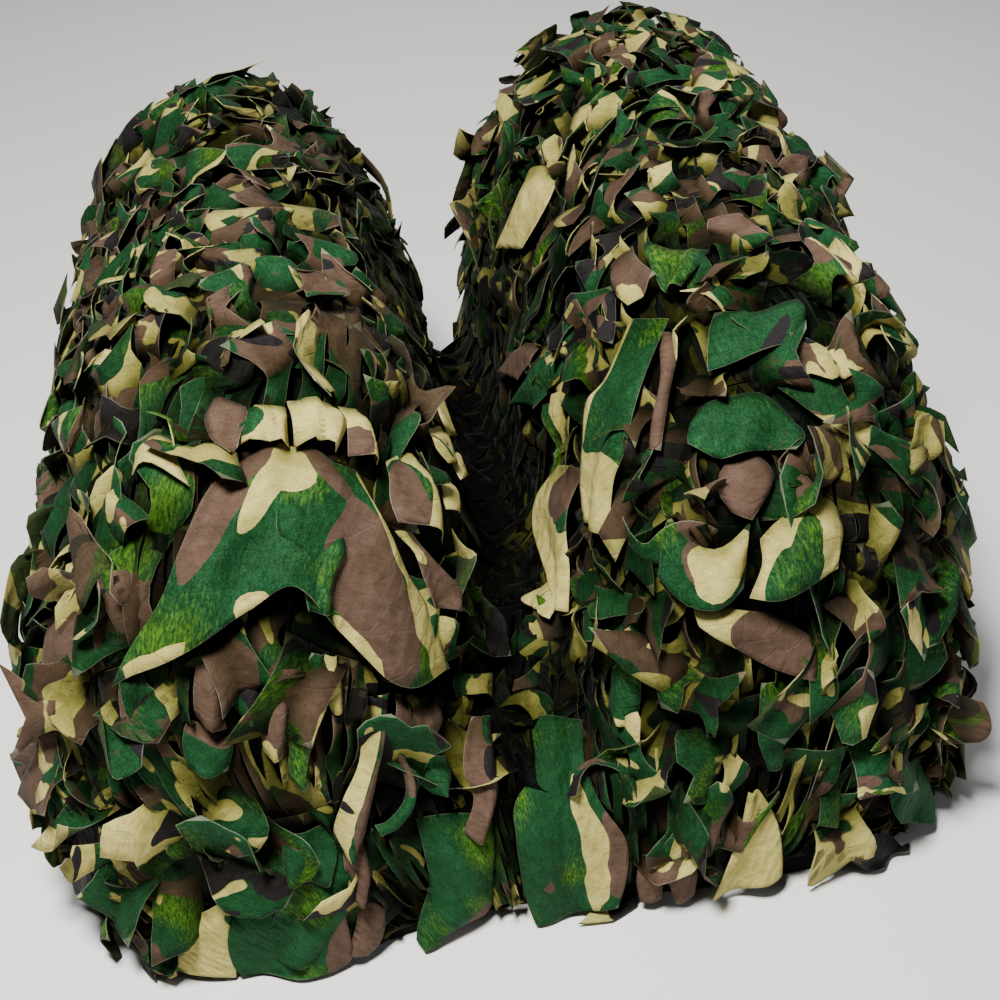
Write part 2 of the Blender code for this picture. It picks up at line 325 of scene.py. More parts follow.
# where little light falls and where the cloth lies close. The valley's middle and widths are shares of the
# cloth across it, the others along it; fuller places are (s, t, width, reach, how much fuller)
shadows = {
    "low": 0.004, "high": 0.048,
    "middle": 0.487, "width": 0.040, "front": (0.10, 0.08), "behind": (0.66, 0.15), "dark": 0.88,
    "gap": 0.085, "gapFront": (0.26, 0.10), "flat": 0.86,
    "fuller": (
        (0.757, 0.53, 0.06, 0.14, 0.42), (0.05, 0.05, 0.09, 0.09, -0.40), (0.14, 0.27, 0.05, 0.08, 0.60),
        (0.85, 0.16, 0.05, 0.07, 0.35), (0.375, 0.60, 0.03, 0.16, -0.35), (0.785, 0.38, 0.03, 0.10, -0.25)),
}


def rampUp(t, ramp):  # 0 before the ramp's start, 1 past its length
    return smoothStep((t - ramp[0]) / ramp[1])


def inValley(s, t):  # the light left in the gap between the humps
    along = rampUp(t, shadows["front"]) * (1 - rampUp(t, shadows["behind"]))
    return 1 - shadows["dark"] * np.exp(-((s - shadows["middle"]) / shadows["width"]) ** 2) * along


def pressed(s, t):  # how full the cloth stands: it lies close in the gap, which stays open
    gap = np.exp(-((s - shadows["middle"]) / shadows["gap"]) ** 2)
    press = 1 - shadows["flat"] * gap * rampUp(t, shadows["gapFront"])
    for s0, t0, width, reach, more in shadows["fuller"]:
        press = press + more * np.exp(-((s - s0) / width) ** 2 - ((t - t0) / reach) ** 2)
    return press


def byHeight(height, deep):  # pieces that lie deep between the others get little light
    return deep + (1 - deep) * smoothStep((height - shadows["low"]) / (shadows["high"] - shadows["low"]))


# the sewn rows, as on the frame's strips, and where the cloth is divided between them
sewn = {"rows": range(2, 30, 3), "of": 34, "ends": (0.012, 0.988)}
bandMiddles = np.array([(row + 0.5) / sewn["of"] for row in sewn["rows"]])
stripEdges = np.concatenate([sewn["ends"][:1], (bandMiddles[1:] + bandMiddles[:-1]) / 2, sewn["ends"][1:]])

# the leaf-cut sheet: slits open into lens-shaped holes, with one lip curled out
lattice = {
    "seed": 23, "cell": 0.0113, "edge": 0.014, "border": 0.0004, "apart": 4, "cut": (6, 9), "bridge": 1,
    "skip": 0.16, "least": 3, "open": (0.004, 0.015), "lip": (0.004, 0.026), "otherLip": (-0.001, 0.006),
    "fades": (1.0, 0.42, 0.10), "low": 0.004, "swell": 0.016, "sway": 0.022, "under": 0.004, "calm": 0.05,
    "inside": (0.006, 0.994), "hem": (0.03, 0.012), "floor": 0.0006, "deep": 0.03,
}


def valueNoise(rng, shape):  # smooth random field over the cloth, read with onCloth
    field = rng.normal(0, 1, shape)
    fine = np.stack(np.meshgrid(np.linspace(0, 1, 120), np.linspace(0, 1, 100), indexing="ij"), -1)
    out = onCloth(field, fine[..., 0], fine[..., 1])
    for r in range(4):
        out[1:-1, 1:-1] = (out[:-2, 1:-1] + out[2:, 1:-1] + out[1:-1, :-2] + out[1:-1, 2:]) / 4
    return out


noiseMaker = np.random.default_rng(lattice["seed"])
swell = valueNoise(noiseMaker, (26, 21, 1))
sway = valueNoise(noiseMaker, (17, 14, 2))


def slit(rng, f, i, j0, j1, move):  # opens one cut: its two lips part, and the columns beside them follow
    run = np.sin(np.linspace(0, math.pi, j1 - j0 + 1))
    gape = rng.uniform(*f["open"]) / cloth["wide"]
    lip, other = rng.uniform(*f["lip"]), rng.uniform(*f["otherLip"])
    lifts = (lip, other) if rng.random() < 0.5 else (other, lip)
    for side, way in ((0, -1), (1, 1)):
        for near, share in enumerate(f["fades"]):
            k = i + way * near
            if 0 <= k < move.shape[1]:
                for copy in (0, 1) if near else (side,):
                    move[copy, k, j0:j1 + 1, 0] += way * gape * share * run * 0.5
                    move[copy, k, j0:j1 + 1, 1] += lifts[side] * share * run ** 0.8


def cutSlits(rng, f, nx, ny):  # how the left and right copies of all points move, and where the sheet is cut
    move = np.zeros((2, nx + 1, ny + 1, 2))
    cutEdge = np.zeros((nx + 1, ny), bool)
    split = np.zeros((nx + 1, ny + 1), bool)
    for i in range(2, nx - 1, f["apart"] // 2):
        odd = (i // (f["apart"] // 2)) % 2
        j = -rng.integers(1, 5) if odd else rng.integers(0, 4)
        while j < ny - 1:
            long = int(rng.integers(*f["cut"]))
            j0, j1 = max(j, 0), min(j + long, ny)
            j = j + long + f["bridge"] + int(rng.random() < 0.3)
            if j1 - j0 < f["least"] or rng.random() < f["skip"]:
                continue
            cutEdge[i, j0:j1] = True
            split[i, j0 + 1:j1] = True
            slit(rng, f, i, j0, j1, move)
    return move, cutEdge, split


def sheetFaces(left, right, cutEdge, total):  # both skins; the quads right of a slit use its right copies
    skin = np.stack([right[:-1, :-1], left[1:, :-1], left[1:, 1:], right[:-1, 1:]], -1).reshape(-1, 4)
    # rims: both lips of every slit, then the sheet's four sides
    i, j = np.nonzero(cutEdge)
    pairs = (
        (left[i, j], left[i, j + 1]), (right[i, j + 1], right[i, j]), (left[:-1, 0], left[1:, 0]),
        (left[-1, :-1], left[-1, 1:]), (left[1:, -1], left[:-1, -1]), (left[0, 1:], left[0, :-1]))
    rims = np.concatenate([np.stack(pair, -1) for pair in pairs])
    rimFaces = np.stack([rims[:, 1], rims[:, 0], rims[:, 0] + total, rims[:, 1] + total], -1)
    faces = np.concatenate([skin, skin[:, ::-1] + total, rimFaces])
    kinds = np.repeat([0, 1, 2], [len(skin), len(skin), len(rimFaces)])
    edge = np.zeros(total)
    edge[np.unique(rims)] = 1
    return faces, kinds, np.tile(edge, 2)


def leafCutSheet(number, f):  # one strip's sheet, with each slit's points doubled
    rng = np.random.default_rng(f["seed"] + number)
    t0, t1 = stripEdges[number - 1] + f["border"], stripEdges[number] - f["border"]
    nx = round((1 - 2 * f["edge"]) * cloth["wide"] / f["cell"])
    ny = round((t1 - t0) * cloth["long"] / f["cell"])
    across, along = np.linspace(f["edge"], 1 - f["edge"], nx + 1), np.linspace(t0, t1, ny + 1)
    s, t = np.meshgrid(across, along, indexing="ij")
    move, cutEdge, split = cutSlits(rng, f, nx, ny)
    left = np.arange(s.size).reshape(s.shape)
    right = left.copy()
    right[split] = s.size + np.arange(split.sum())

    def doubled(leftCopies, rightCopies):  # all left copies first, then the right ones of the split points
        return np.concatenate([leftCopies.ravel(), rightCopies[split]])

    sAll, tAll = doubled(s + move[0, ..., 0], s + move[1, ..., 0]), doubled(t, t)
    rise = doubled(move[0, ..., 1], move[1, ..., 1])
    drift = onCloth(sway, sAll, tAll) * f["sway"] / (cloth["wide"], cloth["long"])
    calm = np.clip(np.minimum(np.minimum(sAll, 1 - sAll), np.minimum(tAll, 1 - tAll)) / f["calm"], 0, 1)
    sPlace = np.clip(sAll + drift[:, 0] * calm, *f["inside"])
    tPlace = np.clip(tAll + drift[:, 1] * calm, *f["inside"])
    uvFlat = np.stack([doubled(s, s) * cloth["wide"], tAll * cloth["long"]], -1)
    under = np.any([inside(d["outline"], np.stack([sPlace, tPlace], -1)) for d in draped], axis=0)
    height = f["low"] + rise + f["swell"] * np.clip(onCloth(swell, sPlace, tPlace)[:, 0] + 0.35, 0, 1.6)
    height = np.where(under, np.minimum(height, f["under"]), height) * pressed(sPlace, tPlace)
    base, n = onCloth(surface, sPlace, tPlace), onCloth(normals, sPlace, tPlace)
    height = np.where(base[:, 2] < f["hem"][0], np.minimum(height, f["hem"][1]), height)
    points, half = base + n * height[:, None], n * flaps["thick"] / 2
    skins = np.concatenate([points + half, points - half])
    skins[:, 2] = np.maximum(skins[:, 2], f["floor"])
    shade = byHeight(height - f["low"], f["deep"]) * inValley(sPlace, tPlace) ** 2
    area = quadAreas(base[:s.size].reshape(nx + 1, ny + 1, 3)).sum()
    faces, kinds, edge = sheetFaces(left, right, cutEdge, len(points))
    return skins, np.tile(uvFlat, (2, 1)), edge, tintRows(np.tile(shade, 2)), faces, kinds, area


# where the flaps grow: even scatter over the cloth
scatter = {"apart": 0.0408, "tries": 40000, "seed": 7, "low": 0.016}


def scatterPlaces(s):
    rng = np.random.default_rng(s["seed"])
    area = quadAreas(surface)
    pick = rng.choice(area.size, size=s["tries"], p=(area / area.sum()).ravel())
    i, j = np.unravel_index(pick, area.shape)
    st = np.stack([(i + rng.random(len(i))) / area.shape[0], (j + rng.random(len(j))) / area.shape[1]], -1)
    places = onCloth(surface, st[:, 0], st[:, 1])
    st, places = st[places[:, 2] > s["low"]], places[places[:, 2] > s["low"]]
    cells, kept = {}, []
    cell = s["apart"]
    for k, place in enumerate(places):
        key = tuple((place / cell).astype(int))
        near = [m for dx in (-1, 0, 1) for dy in (-1, 0, 1) for dz in (-1, 0, 1)
                for m in cells.get((key[0] + dx, key[1] + dy, key[2] + dz), ())]
        if all(np.linalg.norm(places[m] - place) > cell for m in near):
            cells.setdefault(key, []).append(k)
            kept.append(k)
    print("cloth area", area.sum().round(3), "flaps", len(kept))
    return st[kept], places[kept]


flapST, flapPlaces = scatterPlaces(scatter)
flapNormals = onCloth(normals, flapST[:, 0], flapST[:, 1])
flapNormals /= np.linalg.norm(flapNormals, axis=1, keepdims=True)

flaps = {
    "seed": 11, "length": (0.074, 0.150), "width": (1.00, 1.32), "thick": 0.0009, "shade": (0.68, 1.16),
    "lean": 0.40, "frontTo": 0.25, "groups": 620, "alike": 0.6, "spread": 46, "topSpread": 70,
    "topFrom": 0.62, "jitter": 17, "wild": 0.20, "uphill": 0.72, "upFrom": 0.5, "upLift": (38, 76),
    "folded": 0.8,
    "shares": (.36, .05, .07, .13, .05, .08, .01, .11, .02, .12), "far": (0.45, 0.80),
    "lowFront": (-0.20, 0.46), "lowTubed": 0.42, "lowSize": 1.12, "thin": 0.26,
    "valley": (-0.035, 0.17, 0.22),
    "rootShade": 0.32, "deep": 0.035, "highest": 0.050, "top": (0.785, 0.026), "floor": 0.0004,
}
# how the flaps hang, in degrees: share, lift, bend, slope of the roll line, fold, curl of the tip
flapWays = {
    "hanging": (.46, (6, 34), (-60, 30), 30, 56, 50),
    "arched": (.24, (26, 60), (-130, -50), 26, 34, 20),
    "curledOut": (.18, (4, 22), (10, 70), 32, 16, 150),
    "tubed": (.12, (10, 44), (-330, 150), 68, 24, 30),
}


def flapHeadings(f, rng):  # neighbours hang alike: each flap follows its group, then varies
    count, n = len(flapPlaces), flapNormals
    down = np.array([0, 0, -1.0]) - n * (-n[:, 2:3])
    front = np.tile([0.0, -1.0, 0.0], (count, 1)) * np.where(flapPlaces[:, 1:2] < f["frontTo"], 1, -1)
    front -= n * (front * n).sum(1, keepdims=True)
    way = down + f["lean"] * front
    way /= np.maximum(np.linalg.norm(way, axis=1, keepdims=True), 1e-6)
    side = np.cross(n, way)
    seeds = flapPlaces[rng.choice(count, f["groups"], replace=False)]
    group = np.array([((seeds - p) ** 2).sum(1).argmin() for p in flapPlaces])
    spread = np.where(n[:, 2] > f["topFrom"], f["topSpread"], f["spread"])
    turn = np.radians(rng.normal(0, 1, f["groups"])[group] * spread + rng.normal(0, f["jitter"], count))
    upward = (n[:, 2] > f["upFrom"]) & (rng.random(f["groups"])[group] < f["uphill"])
    way = np.where(upward[:, None], -way, way)
    turn = np.where(rng.random(count) < f["wild"], rng.uniform(-math.pi, math.pi, count), turn)
    return way * np.cos(turn)[:, None] + side * np.sin(turn)[:, None], turn, upward, group


def flapRolls(f, rng, upward, group, low):  # how each flap is lifted, bent, folded and curled, in degrees
    count, ways = len(flapPlaces), list(flapWays.values())
    shares = np.cumsum([w[0] for w in ways])
    asGroup = rng.random(count) < f["alike"]
    pick = np.searchsorted(shares, np.where(asGroup, rng.random(f["groups"])[group], rng.random(count)))
    pick = np.where(low & (rng.random(count) < f["lowTubed"]), len(ways) - 1, pick)
    mix = np.clip(0.65 * rng.random(f["groups"])[group] + 0.35 * rng.random(count), 0, 1)
    rows = [ways[k] for k in pick]
    lift = np.array([np.interp(m, (0, 1), row[1]) for row, m in zip(rows, mix)])
    bend = np.array([rng.uniform(*row[2]) for row in rows])
    lift = np.where(upward, np.maximum(lift, rng.uniform(*f["upLift"], count)), lift)
    # tubes roll about a steep line to one side or the other
    slope = np.array([rng.normal(0, row[3]) if row[3] < 60 else rng.choice((-1, 1)) * row[3] for row in rows])
    fold = np.array([rng.normal(0, row[4]) for row in rows]) * (rng.random(count) < f["folded"])
    curl = np.array([rng.uniform(-0.3, 1) * row[5] for row in rows])
    return lift, bend, slope, fold, curl


def flapSettings(f):
    rng = np.random.default_rng(f["seed"])
    count, n = len(flapPlaces), flapNormals
    way, turn, upward, group = flapHeadings(f, rng)
    low = (flapPlaces[:, 1] < f["lowFront"][0]) & (flapPlaces[:, 2] < f["lowFront"][1])
    lift, bend, slope, fold, curl = flapRolls(f, rng, upward, group, low)
    middle, width, above = f["valley"]
    calm = np.exp(-((flapPlaces[:, 0] - middle) / width) ** 2) * (flapPlaces[:, 2] > above)
    size = f["length"][0] + np.diff(f["length"]) * rng.beta(1.4, 2.4, count)
    size = size * np.where(low, f["lowSize"], 1.0) * np.where(n[:, 2] > f["far"][0], f["far"][1], 1.0)
    kinds = len(f["shares"])
    return {
        "place": flapPlaces, "normal": n, "way": way, "turn": turn,
        "size": size * (1 - 0.20 * calm),
        "width": rng.uniform(*f["width"], count) * (1.10 - 3.4 * (size - f["length"][0])),
        "lift": np.radians(lift * (1 - 0.75 * calm)),
        "slope": np.radians(slope + rng.normal(0, 10, count)),
        "bend": np.radians(bend * (1 - 0.6 * calm)),
        "fold": np.radians(fold * (1 - 0.7 * calm)),
        "foldAt": rng.uniform(0.30, 0.75, count),
        "curl": np.radians(curl * (1 - 0.9 * calm)),
        "cup": rng.normal(0, 0.10, count),
        "crease": rng.choice((-1, 1), count) * rng.uniform(0.1, 0.75, count) * (1 - 0.7 * calm),
        "warp": rng.normal(0, 0.26, count) * (1 - 0.7 * calm),
        "wave": rng.uniform(0, 0.034, count),
        "press": pressed(flapST[:, 0], flapST[:, 1]),
        "phase": rng.uniform(0, 6.28, count),
        "raise": rng.uniform(0.004, 0.014, count) * (1 - 0.6 * calm),
        "shape": rng.choice(kinds, count, p=f["shares"]) + kinds * rng.integers(0, 2, count),
        "shade": rng.uniform(*f["shade"], count) * (1 - 0.45 * calm * (flapPlaces[:, 2] < 0.55)),
        "printAt": rng.uniform(-4, 4, (count, 2)),  # each flap is cut from another part of the print
        "kept": ~low | (rng.random(count) > f["thin"]),
    }


flapRows = flapSettings(flaps)

# webs: the uncut strips of cloth left between the leaf cuts, looping over the net
webs = {
    "seed": 5, "count": 240, "length": (0.12, 0.34), "width": (0.022, 0.064), "rise": (0.008, 0.034),
    "lift": 0.004, "under": -0.15, "edges": 0.02, "least": 0.004, "grid": (4, 20), "shade": (0.82, 1.08),
    "proud": 0.006, "deep": 0.10,
}


def shapeWebs(f):
    rng = np.random.default_rng(f["seed"])
    nx, ny = f["grid"]
    count = f["count"]

    def column(draw, *limits):
        return draw(*limits, count)[:, None]

    start = flapST[rng.choice(len(flapST), count, replace=False)] * (cloth["wide"], cloth["long"])
    u = np.linspace(0, 1, ny + 1)[None]
    heading = column(rng.uniform, 0, 2 * math.pi)
    heading = heading + column(rng.normal, 0, 0.9) * u + 0.35 * np.sin(column(rng.uniform, 0, 6) + 7 * u)
    length = column(rng.uniform, *f["length"])
    x = start[:, :1] + np.cumsum(np.cos(heading), axis=1) * length / ny
    y = start[:, 1:] + np.cumsum(np.sin(heading), axis=1) * length / ny
    half = column(rng.uniform, *f["width"])
    half = half * (1 + 0.34 * np.sin(column(rng.uniform, 0, 6) + column(rng.uniform, 8, 20) * u)) / 2
    skew = 1 + 0.5 * np.sin(column(rng.uniform, 0, 6) + column(rng.uniform, 9, 18) * u)
    turn = column(rng.normal, 0, 0.75) * np.sin(math.pi * u) + column(rng.normal, 0, 0.35)
    loops = column(rng.integers, 1, 4)
    high = f["lift"] + column(rng.uniform, *f["rise"]) * np.abs(np.sin(math.pi * loops * u)) ** 0.8
    side = np.linspace(-1, 1, nx + 1)[None, :, None]
    reach = np.where(side > 0, side * skew[:, None], side / skew[:, None]) * half[:, None]
    px, py = np.sin(heading)[:, None], -np.cos(heading)[:, None]
    uv = np.stack([x[:, None] + px * reach, y[:, None] + py * reach], -1)
    turn = turn[:, None]
    flat = reach * np.cos(turn)
    s = np.clip((x[:, None] + px * flat) / cloth["wide"], f["edges"], 1 - f["edges"])
    t = np.clip((y[:, None] + py * flat) / cloth["long"], f["edges"], 1 - f["edges"])
    press = pressed(s, t)
    raised = press * np.abs(reach) * np.sin(np.abs(turn)) * np.where(side * turn > 0, 1, f["under"])
    height = high[:, None] * press + raised
    points = onCloth(surface, s, t) + onCloth(normals, s, t) * height[..., None]
    middle = np.stack([x.mean(1) / cloth["wide"], y.mean(1) / cloth["long"]], -1)
    good = (points[..., 2].min((1, 2)) > f["least"]) & (np.abs(s - 0.5).max((1, 2)) < 0.5 - f["edges"])
    good &= np.abs(t - 0.5).max((1, 2)) < 0.5 - f["edges"]
    area = (2 * half * length / ny).sum(1)
    light = rng.uniform(*f["shade"], count)[:, None, None]
    shade = light * byHeight(height + f["proud"], f["deep"]) * inValley(s, t)
    print("webs", good.sum())
    return [a[good] for a in (points, uv, middle, area, shade)]


webPoints, webUv, webMiddles, webAreas, webShades = shapeWebs(webs)

# drapes: the large pieces that can be told apart in the photograph. Their outlines are rows of photo pixels
# from root to tip, seen "at" a height over the cloth, or rows of (s, t) places where the photo shows them
# from too low a side. Motifs of the print: kind, middle across and along, reach across and along, in shares
usualDrape = {"flare": 0.004, "folds": 1, "motifs": ()}
drapes = {
    "patch": {"at": 0.030, "high": 0.032, "flare": 0.016, "folds": 3, "print": "green",
        "motifs": (("tan", .42, .12, .17, .2), ("tan", .3, .34, .07, .16), ("brown", .1, .34, .12, .3),
        ("brown", .12, .1, .14, .12), ("brown", .8, .6, .14, .42), ("brown", .66, .16, .1, .14),
        ("tan", .96, .6, .05, .5), ("tan", .12, .97, .14, .05), ("tan", .36, .98, .05, .1),
        ("tan", .72, .97, .06, .12)), "seen": (
        ((232, 462), (255, 448), (277, 442), (300, 445), (322, 450), (345, 458), (362, 470)),
        ((208, 490), (240, 480), (272, 478), (305, 480), (340, 486), (368, 500), (385, 512)),
        ((180, 550), (215, 540), (250, 530), (290, 530), (330, 540), (375, 560), (410, 570)),
        ((155, 610), (190, 600), (230, 580), (280, 570), (320, 590), (380, 610), (435, 620)),
        ((111, 686), (180, 650), (245, 612), (290, 584), (335, 630), (394, 682), (449, 668)))},
    "patchLeaf": {"at": 0.045, "high": 0.041, "folds": 0, "print": "green", "seen": (
        ((283, 492), (300, 488)), ((277, 515), (318, 512)), ((280, 532), (314, 530)),
        ((296, 550), (306, 548)))},
    "patchTag": {"at": 0.045, "high": 0.042, "flare": 0.008, "print": "green", "seen": (
        ((306, 540), (350, 524)), ((308, 562), (349, 552)), ((308, 585), (336, 578)),
        ((309, 610), (330, 616)))},
    "lozenge": {"at": 0.040, "high": 0.038, "print": "brown", "seen": (
        ((205, 392), (228, 388)), ((202, 415), (250, 405)), ((214, 438), (240, 436)),
        ((228, 452), (236, 450)))},
    "beltA": {"at": 0.045, "high": 0.042, "flare": 0, "folds": 2, "print": "tan",
        "motifs": (("green", .15, .3, .25, .4),), "seen": (
        ((238, 404), (262, 398), (290, 396)), ((236, 425), (264, 418), (292, 420)),
        ((240, 440), (265, 436), (290, 440)))},
    "beltB": {"at": 0.045, "high": 0.042, "flare": 0, "folds": 2, "print": "tan", "seen": (
        ((292, 392), (320, 390), (345, 396)), ((294, 418), (322, 412), (350, 420)),
        ((298, 440), (320, 436), (345, 446)))},
    "beltC": {"at": 0.040, "high": 0.038, "print": "tan", "motifs": (("brown", .2, .8, .4, .3),), "seen": (
        ((345, 398), (368, 404)), ((350, 425), (376, 432)), ((356, 452), (382, 462)))},
    "sideStrip": {"at": 0.040, "high": 0.040, "flare": 0.006, "print": "tan",
        "motifs": (("brown", .15, .6, .25, .5), ("green", .98, .5, .25, .7)), "seen": (
        ((397, 455), (418, 450), (430, 470)), ((398, 490), (428, 485), (445, 512)),
        ((404, 520), (430, 530), (450, 545)))},
    "sideLoop": {"at": 0.045, "high": 0.044, "flare": 0.006, "print": "brown",
        "motifs": (("tan", .2, .2, .4, .3),), "seen": (
        ((408, 530), (428, 532)), ((420, 556), (440, 560)), ((428, 580), (462, 590)),
        ((438, 606), (460, 612)))},
    "arch": {"at": 0.040, "high": 0.040, "folds": 0, "print": "tan", "seen": (
        ((128, 440), (150, 430), (165, 434)), ((126, 462), (148, 450), (176, 456)),
        ((132, 474), (146, 462), (188, 486)))},
    "bigFlap": {"at": 0.035, "high": 0.034, "flare": 0.010, "print": "green",
        "motifs": (("tan", .75, .62, .16, .4), ("brown", .98, .66, .14, .26)), "seen": (
        ((530, 709), (580, 716)), ((537, 763), (584, 763)), ((516, 806), (601, 806)),
        ((516, 834), (626, 841)), ((526, 899), (625, 877)), ((537, 931), (616, 902)))},
    "longStrip": {"at": 0.040, "high": 0.040, "flare": 0.006, "print": "green",
        "motifs": (("tan", .25, .45, .32, .6), ("brown", .85, .6, .32, .45)), "seen": (
        ((371, 705), (401, 695)), ((364, 763), (391, 738)), ((346, 806), (380, 790)),
        ((337, 838), (368, 835)), ((345, 857), (357, 860)))},
    "cup": {"at": 0.050, "high": 0.040, "flare": -0.020, "folds": 0, "print": "brown", "seen": (
        ((412, 698), (434, 712), (455, 705)), ((408, 725), (434, 738), (456, 725)),
        ((412, 752), (434, 763), (451, 741)))},
    "greenLeafLow": {"at": 0.030, "high": 0.030, "flare": 0.006, "print": "green", "seen": (
        ((300, 855), (350, 850)), ((285, 890), (352, 885)), ((270, 935), (345, 925)),
        ((262, 958), (318, 962)))},
    "brownLow": {"at": 0.030, "high": 0.030, "folds": 0, "print": "brown", "seen": (
        ((366, 905), (395, 915)), ((355, 935), (382, 945)), ((345, 955), (368, 955)))},
    "greenWide": {"at": 0.030, "high": 0.030, "flare": 0.006, "print": "green",
        "motifs": (("brown", .9, .8, .2, .25),), "seen": (
        ((420, 822), (470, 815), (494, 822)), ((428, 860), (465, 862), (496, 866)),
        ((432, 895), (462, 905), (490, 918)), ((418, 945), (428, 950), (439, 948)))},
    "star": {"at": 0.030, "high": 0.030, "flare": 0.008, "print": "tan", "seen": (
        ((752, 798), (762, 796)), ((742, 830), (778, 825)), ((728, 862), (782, 858)),
        ((711, 901), (780, 872)))},
    "squareHemA": {"at": 0.030, "high": 0.030, "flare": 0.006, "folds": 0, "print": "brown", "seen": (
        ((640, 868), (664, 870)), ((637, 885), (664, 888)), ((640, 902), (662, 898)))},
    "squareHemB": {"at": 0.030, "high": 0.030, "flare": 0.006, "folds": 0, "print": "brown", "seen": (
        ((668, 868), (697, 864)), ((668, 882), (697, 880)), ((676, 903), (694, 893)))},
    "diagonal": {"at": 0.035, "high": 0.034, "flare": 0.006, "print": "green",
        "motifs": (("tan", .5, .86, .8, .26), ("tan", .02, .25, .16, .3)), "seen": (
        ((621, 315), (661, 311)), ((597, 377), (646, 359)), ((581, 405), (632, 410)),
        ((577, 450), (624, 452)), ((575, 484), (612, 483)), ((581, 523), (608, 537)))},
    "strap": {"at": 0.045, "high": 0.045, "flare": 0, "folds": 0, "print": "brown", "seen": (
        ((652, 326), (668, 325)), ((651, 345), (673, 345)), ((655, 377), (668, 377)),
        ((648, 420), (660, 420)), ((646, 448), (657, 450)))},
    "upturned": {"at": 0.045, "high": 0.040, "flare": 0, "print": "green",
        "motifs": (("black", .62, .8, .14, .45),), "seen": (
        ((708, 302), (755, 300), (790, 288), (808, 286)), ((706, 335), (755, 325), (790, 312), (806, 312)),
        ((706, 364), (740, 352), (775, 348), (801, 340)))},
    "squares": {"at": 0.035, "high": 0.034, "folds": 2, "print": "green", "seen": (
        ((688, 408), (718, 395), (761, 390), (800, 415)), ((686, 430), (722, 424), (762, 420), (806, 436)),
        ((690, 446), (720, 457), (756, 450), (794, 452)))},
    "leafA": {"at": 0.030, "high": 0.030, "folds": 0, "print": "brown", "seen": (
        ((736, 452), (752, 448)), ((722, 470), (772, 468)), ((718, 492), (774, 486)),
        ((730, 512), (752, 520)))},
    "leafB": {"at": 0.030, "high": 0.030, "folds": 0, "print": "brown", "seen": (
        ((786, 456), (798, 462)), ((780, 488), (812, 480)), ((790, 510), (824, 500)),
        ((800, 522), (815, 516)))},
    "wLeft": {"at": 0.045, "high": 0.044, "print": "green",
        "motifs": (("tan", .68, .35, .36, .52),), "seen": (
        ((659, 514), (672, 530), (690, 545), (712, 552), (732, 543), (750, 526)),
        ((655, 545), (670, 560), (690, 573), (712, 580), (732, 573), (748, 555)),
        ((652, 578), (668, 590), (690, 603), (712, 609), (730, 603), (744, 592)))},
    "wRight": {"at": 0.050, "high": 0.048, "print": "tan", "motifs": (("green", .38, .86, .3, .42),
        ("green", .5, .55, .12, .34)), "seen": (
        ((765, 545), (780, 528), (800, 512), (822, 500), (838, 503), (848, 516)),
        ((762, 572), (778, 562), (798, 553), (818, 548), (836, 545), (850, 540)),
        ((750, 600), (772, 600), (792, 594), (812, 586), (828, 580), (842, 572)))},
    "bigFold": {"at": 0.040, "high": 0.038, "print": "tan",
        "motifs": (("brown", .85, .6, .45, .9),), "seen": (
        ((690, 607), (734, 612), (775, 622), (818, 647)), ((694, 616), (736, 630), (776, 648), (820, 664)),
        ((702, 626), (734, 648), (770, 669), (814, 681)))},
    "tanStrip": {"at": 0.040, "high": 0.040, "print": "tan",
        "motifs": (("brown", .8, .2, .3, .3),), "seen": (
        ((542, 466), (566, 470)), ((528, 495), (562, 500)), ((530, 530), (560, 528)),
        ((543, 570), (566, 568)), ((554, 610), (566, 612)))},
    "greenDrop": {"at": 0.035, "high": 0.034, "print": "green",
        "motifs": (("tan", .5, 1, .8, .16),), "seen": (
        ((601, 612), (636, 620)), ((602, 640), (642, 648)), ((606, 672), (636, 676)),
        ((604, 706), (634, 716)), ((612, 722), (628, 728)))},
    "lowLeaf": {"at": 0.035, "high": 0.034, "flare": 0.006, "folds": 0, "print": "green", "seen": (
        ((765, 690), (792, 683)), ((762, 720), (795, 715)), ((760, 745), (790, 742)),
        ((768, 770), (782, 768)))},
    "diamond": {"at": 0.035, "high": 0.034, "flare": 0, "folds": 0, "print": "tan", "seen": (
        ((818, 346), (849, 335)), ((828, 360), (862, 346)), ((846, 377), (874, 364)))},
    "charcoalLeaf": {"at": 0.035, "high": 0.034, "print": "black",
        "motifs": (("brown", .4, .45, .45, .4),), "seen": (
        ((570, 290), (608, 286)), ((567, 305), (612, 300)), ((584, 326), (612, 325)),
        ((592, 338), (606, 342)))},
    "brownSquare": {"at": 0.040, "high": 0.038, "print": "brown",
        "motifs": (("tan", .1, .9, .3, .3),), "seen": (
        ((597, 271), (621, 235)), ((612, 290), (638, 256)), ((630, 306), (657, 275)))},
    "greenTop": {"at": 0.040, "high": 0.038, "print": "green", "seen": (
        ((634, 233), (668, 240), (708, 236)), ((645, 255), (672, 262), (700, 258)),
        ((656, 286), (668, 290), (680, 284)))},
    "tanTopLeft": {"at": 0.035, "high": 0.034, "print": "tan", "seen": (
        ((510, 170), (548, 160)), ((508, 195), (543, 191)), ((500, 225), (530, 222)),
        ((494, 250), (518, 248)))},
    "hornRight": {"high": 0.045, "flare": 0.050, "folds": 0, "print": "brown",
        "motifs": (("black", .2, .3, .3, .6),), "places": (
        ((.821, .129), (.884, .090)), ((.824, .129), (.879, .092)), ((.830, .127), (.872, .095)),
        ((.837, .125), (.865, .099)))},
    "hornLeft": {"high": 0.045, "flare": 0.036, "folds": 0, "print": "brown", "places": (
        ((.156, .191), (.105, .179)), ((.150, .193), (.108, .183)), ((.143, .196), (.112, .188)),
        ((.136, .198), (.117, .194)))},
    "hangA": {"at": 0.035, "high": 0.035, "print": "green", "seen": (
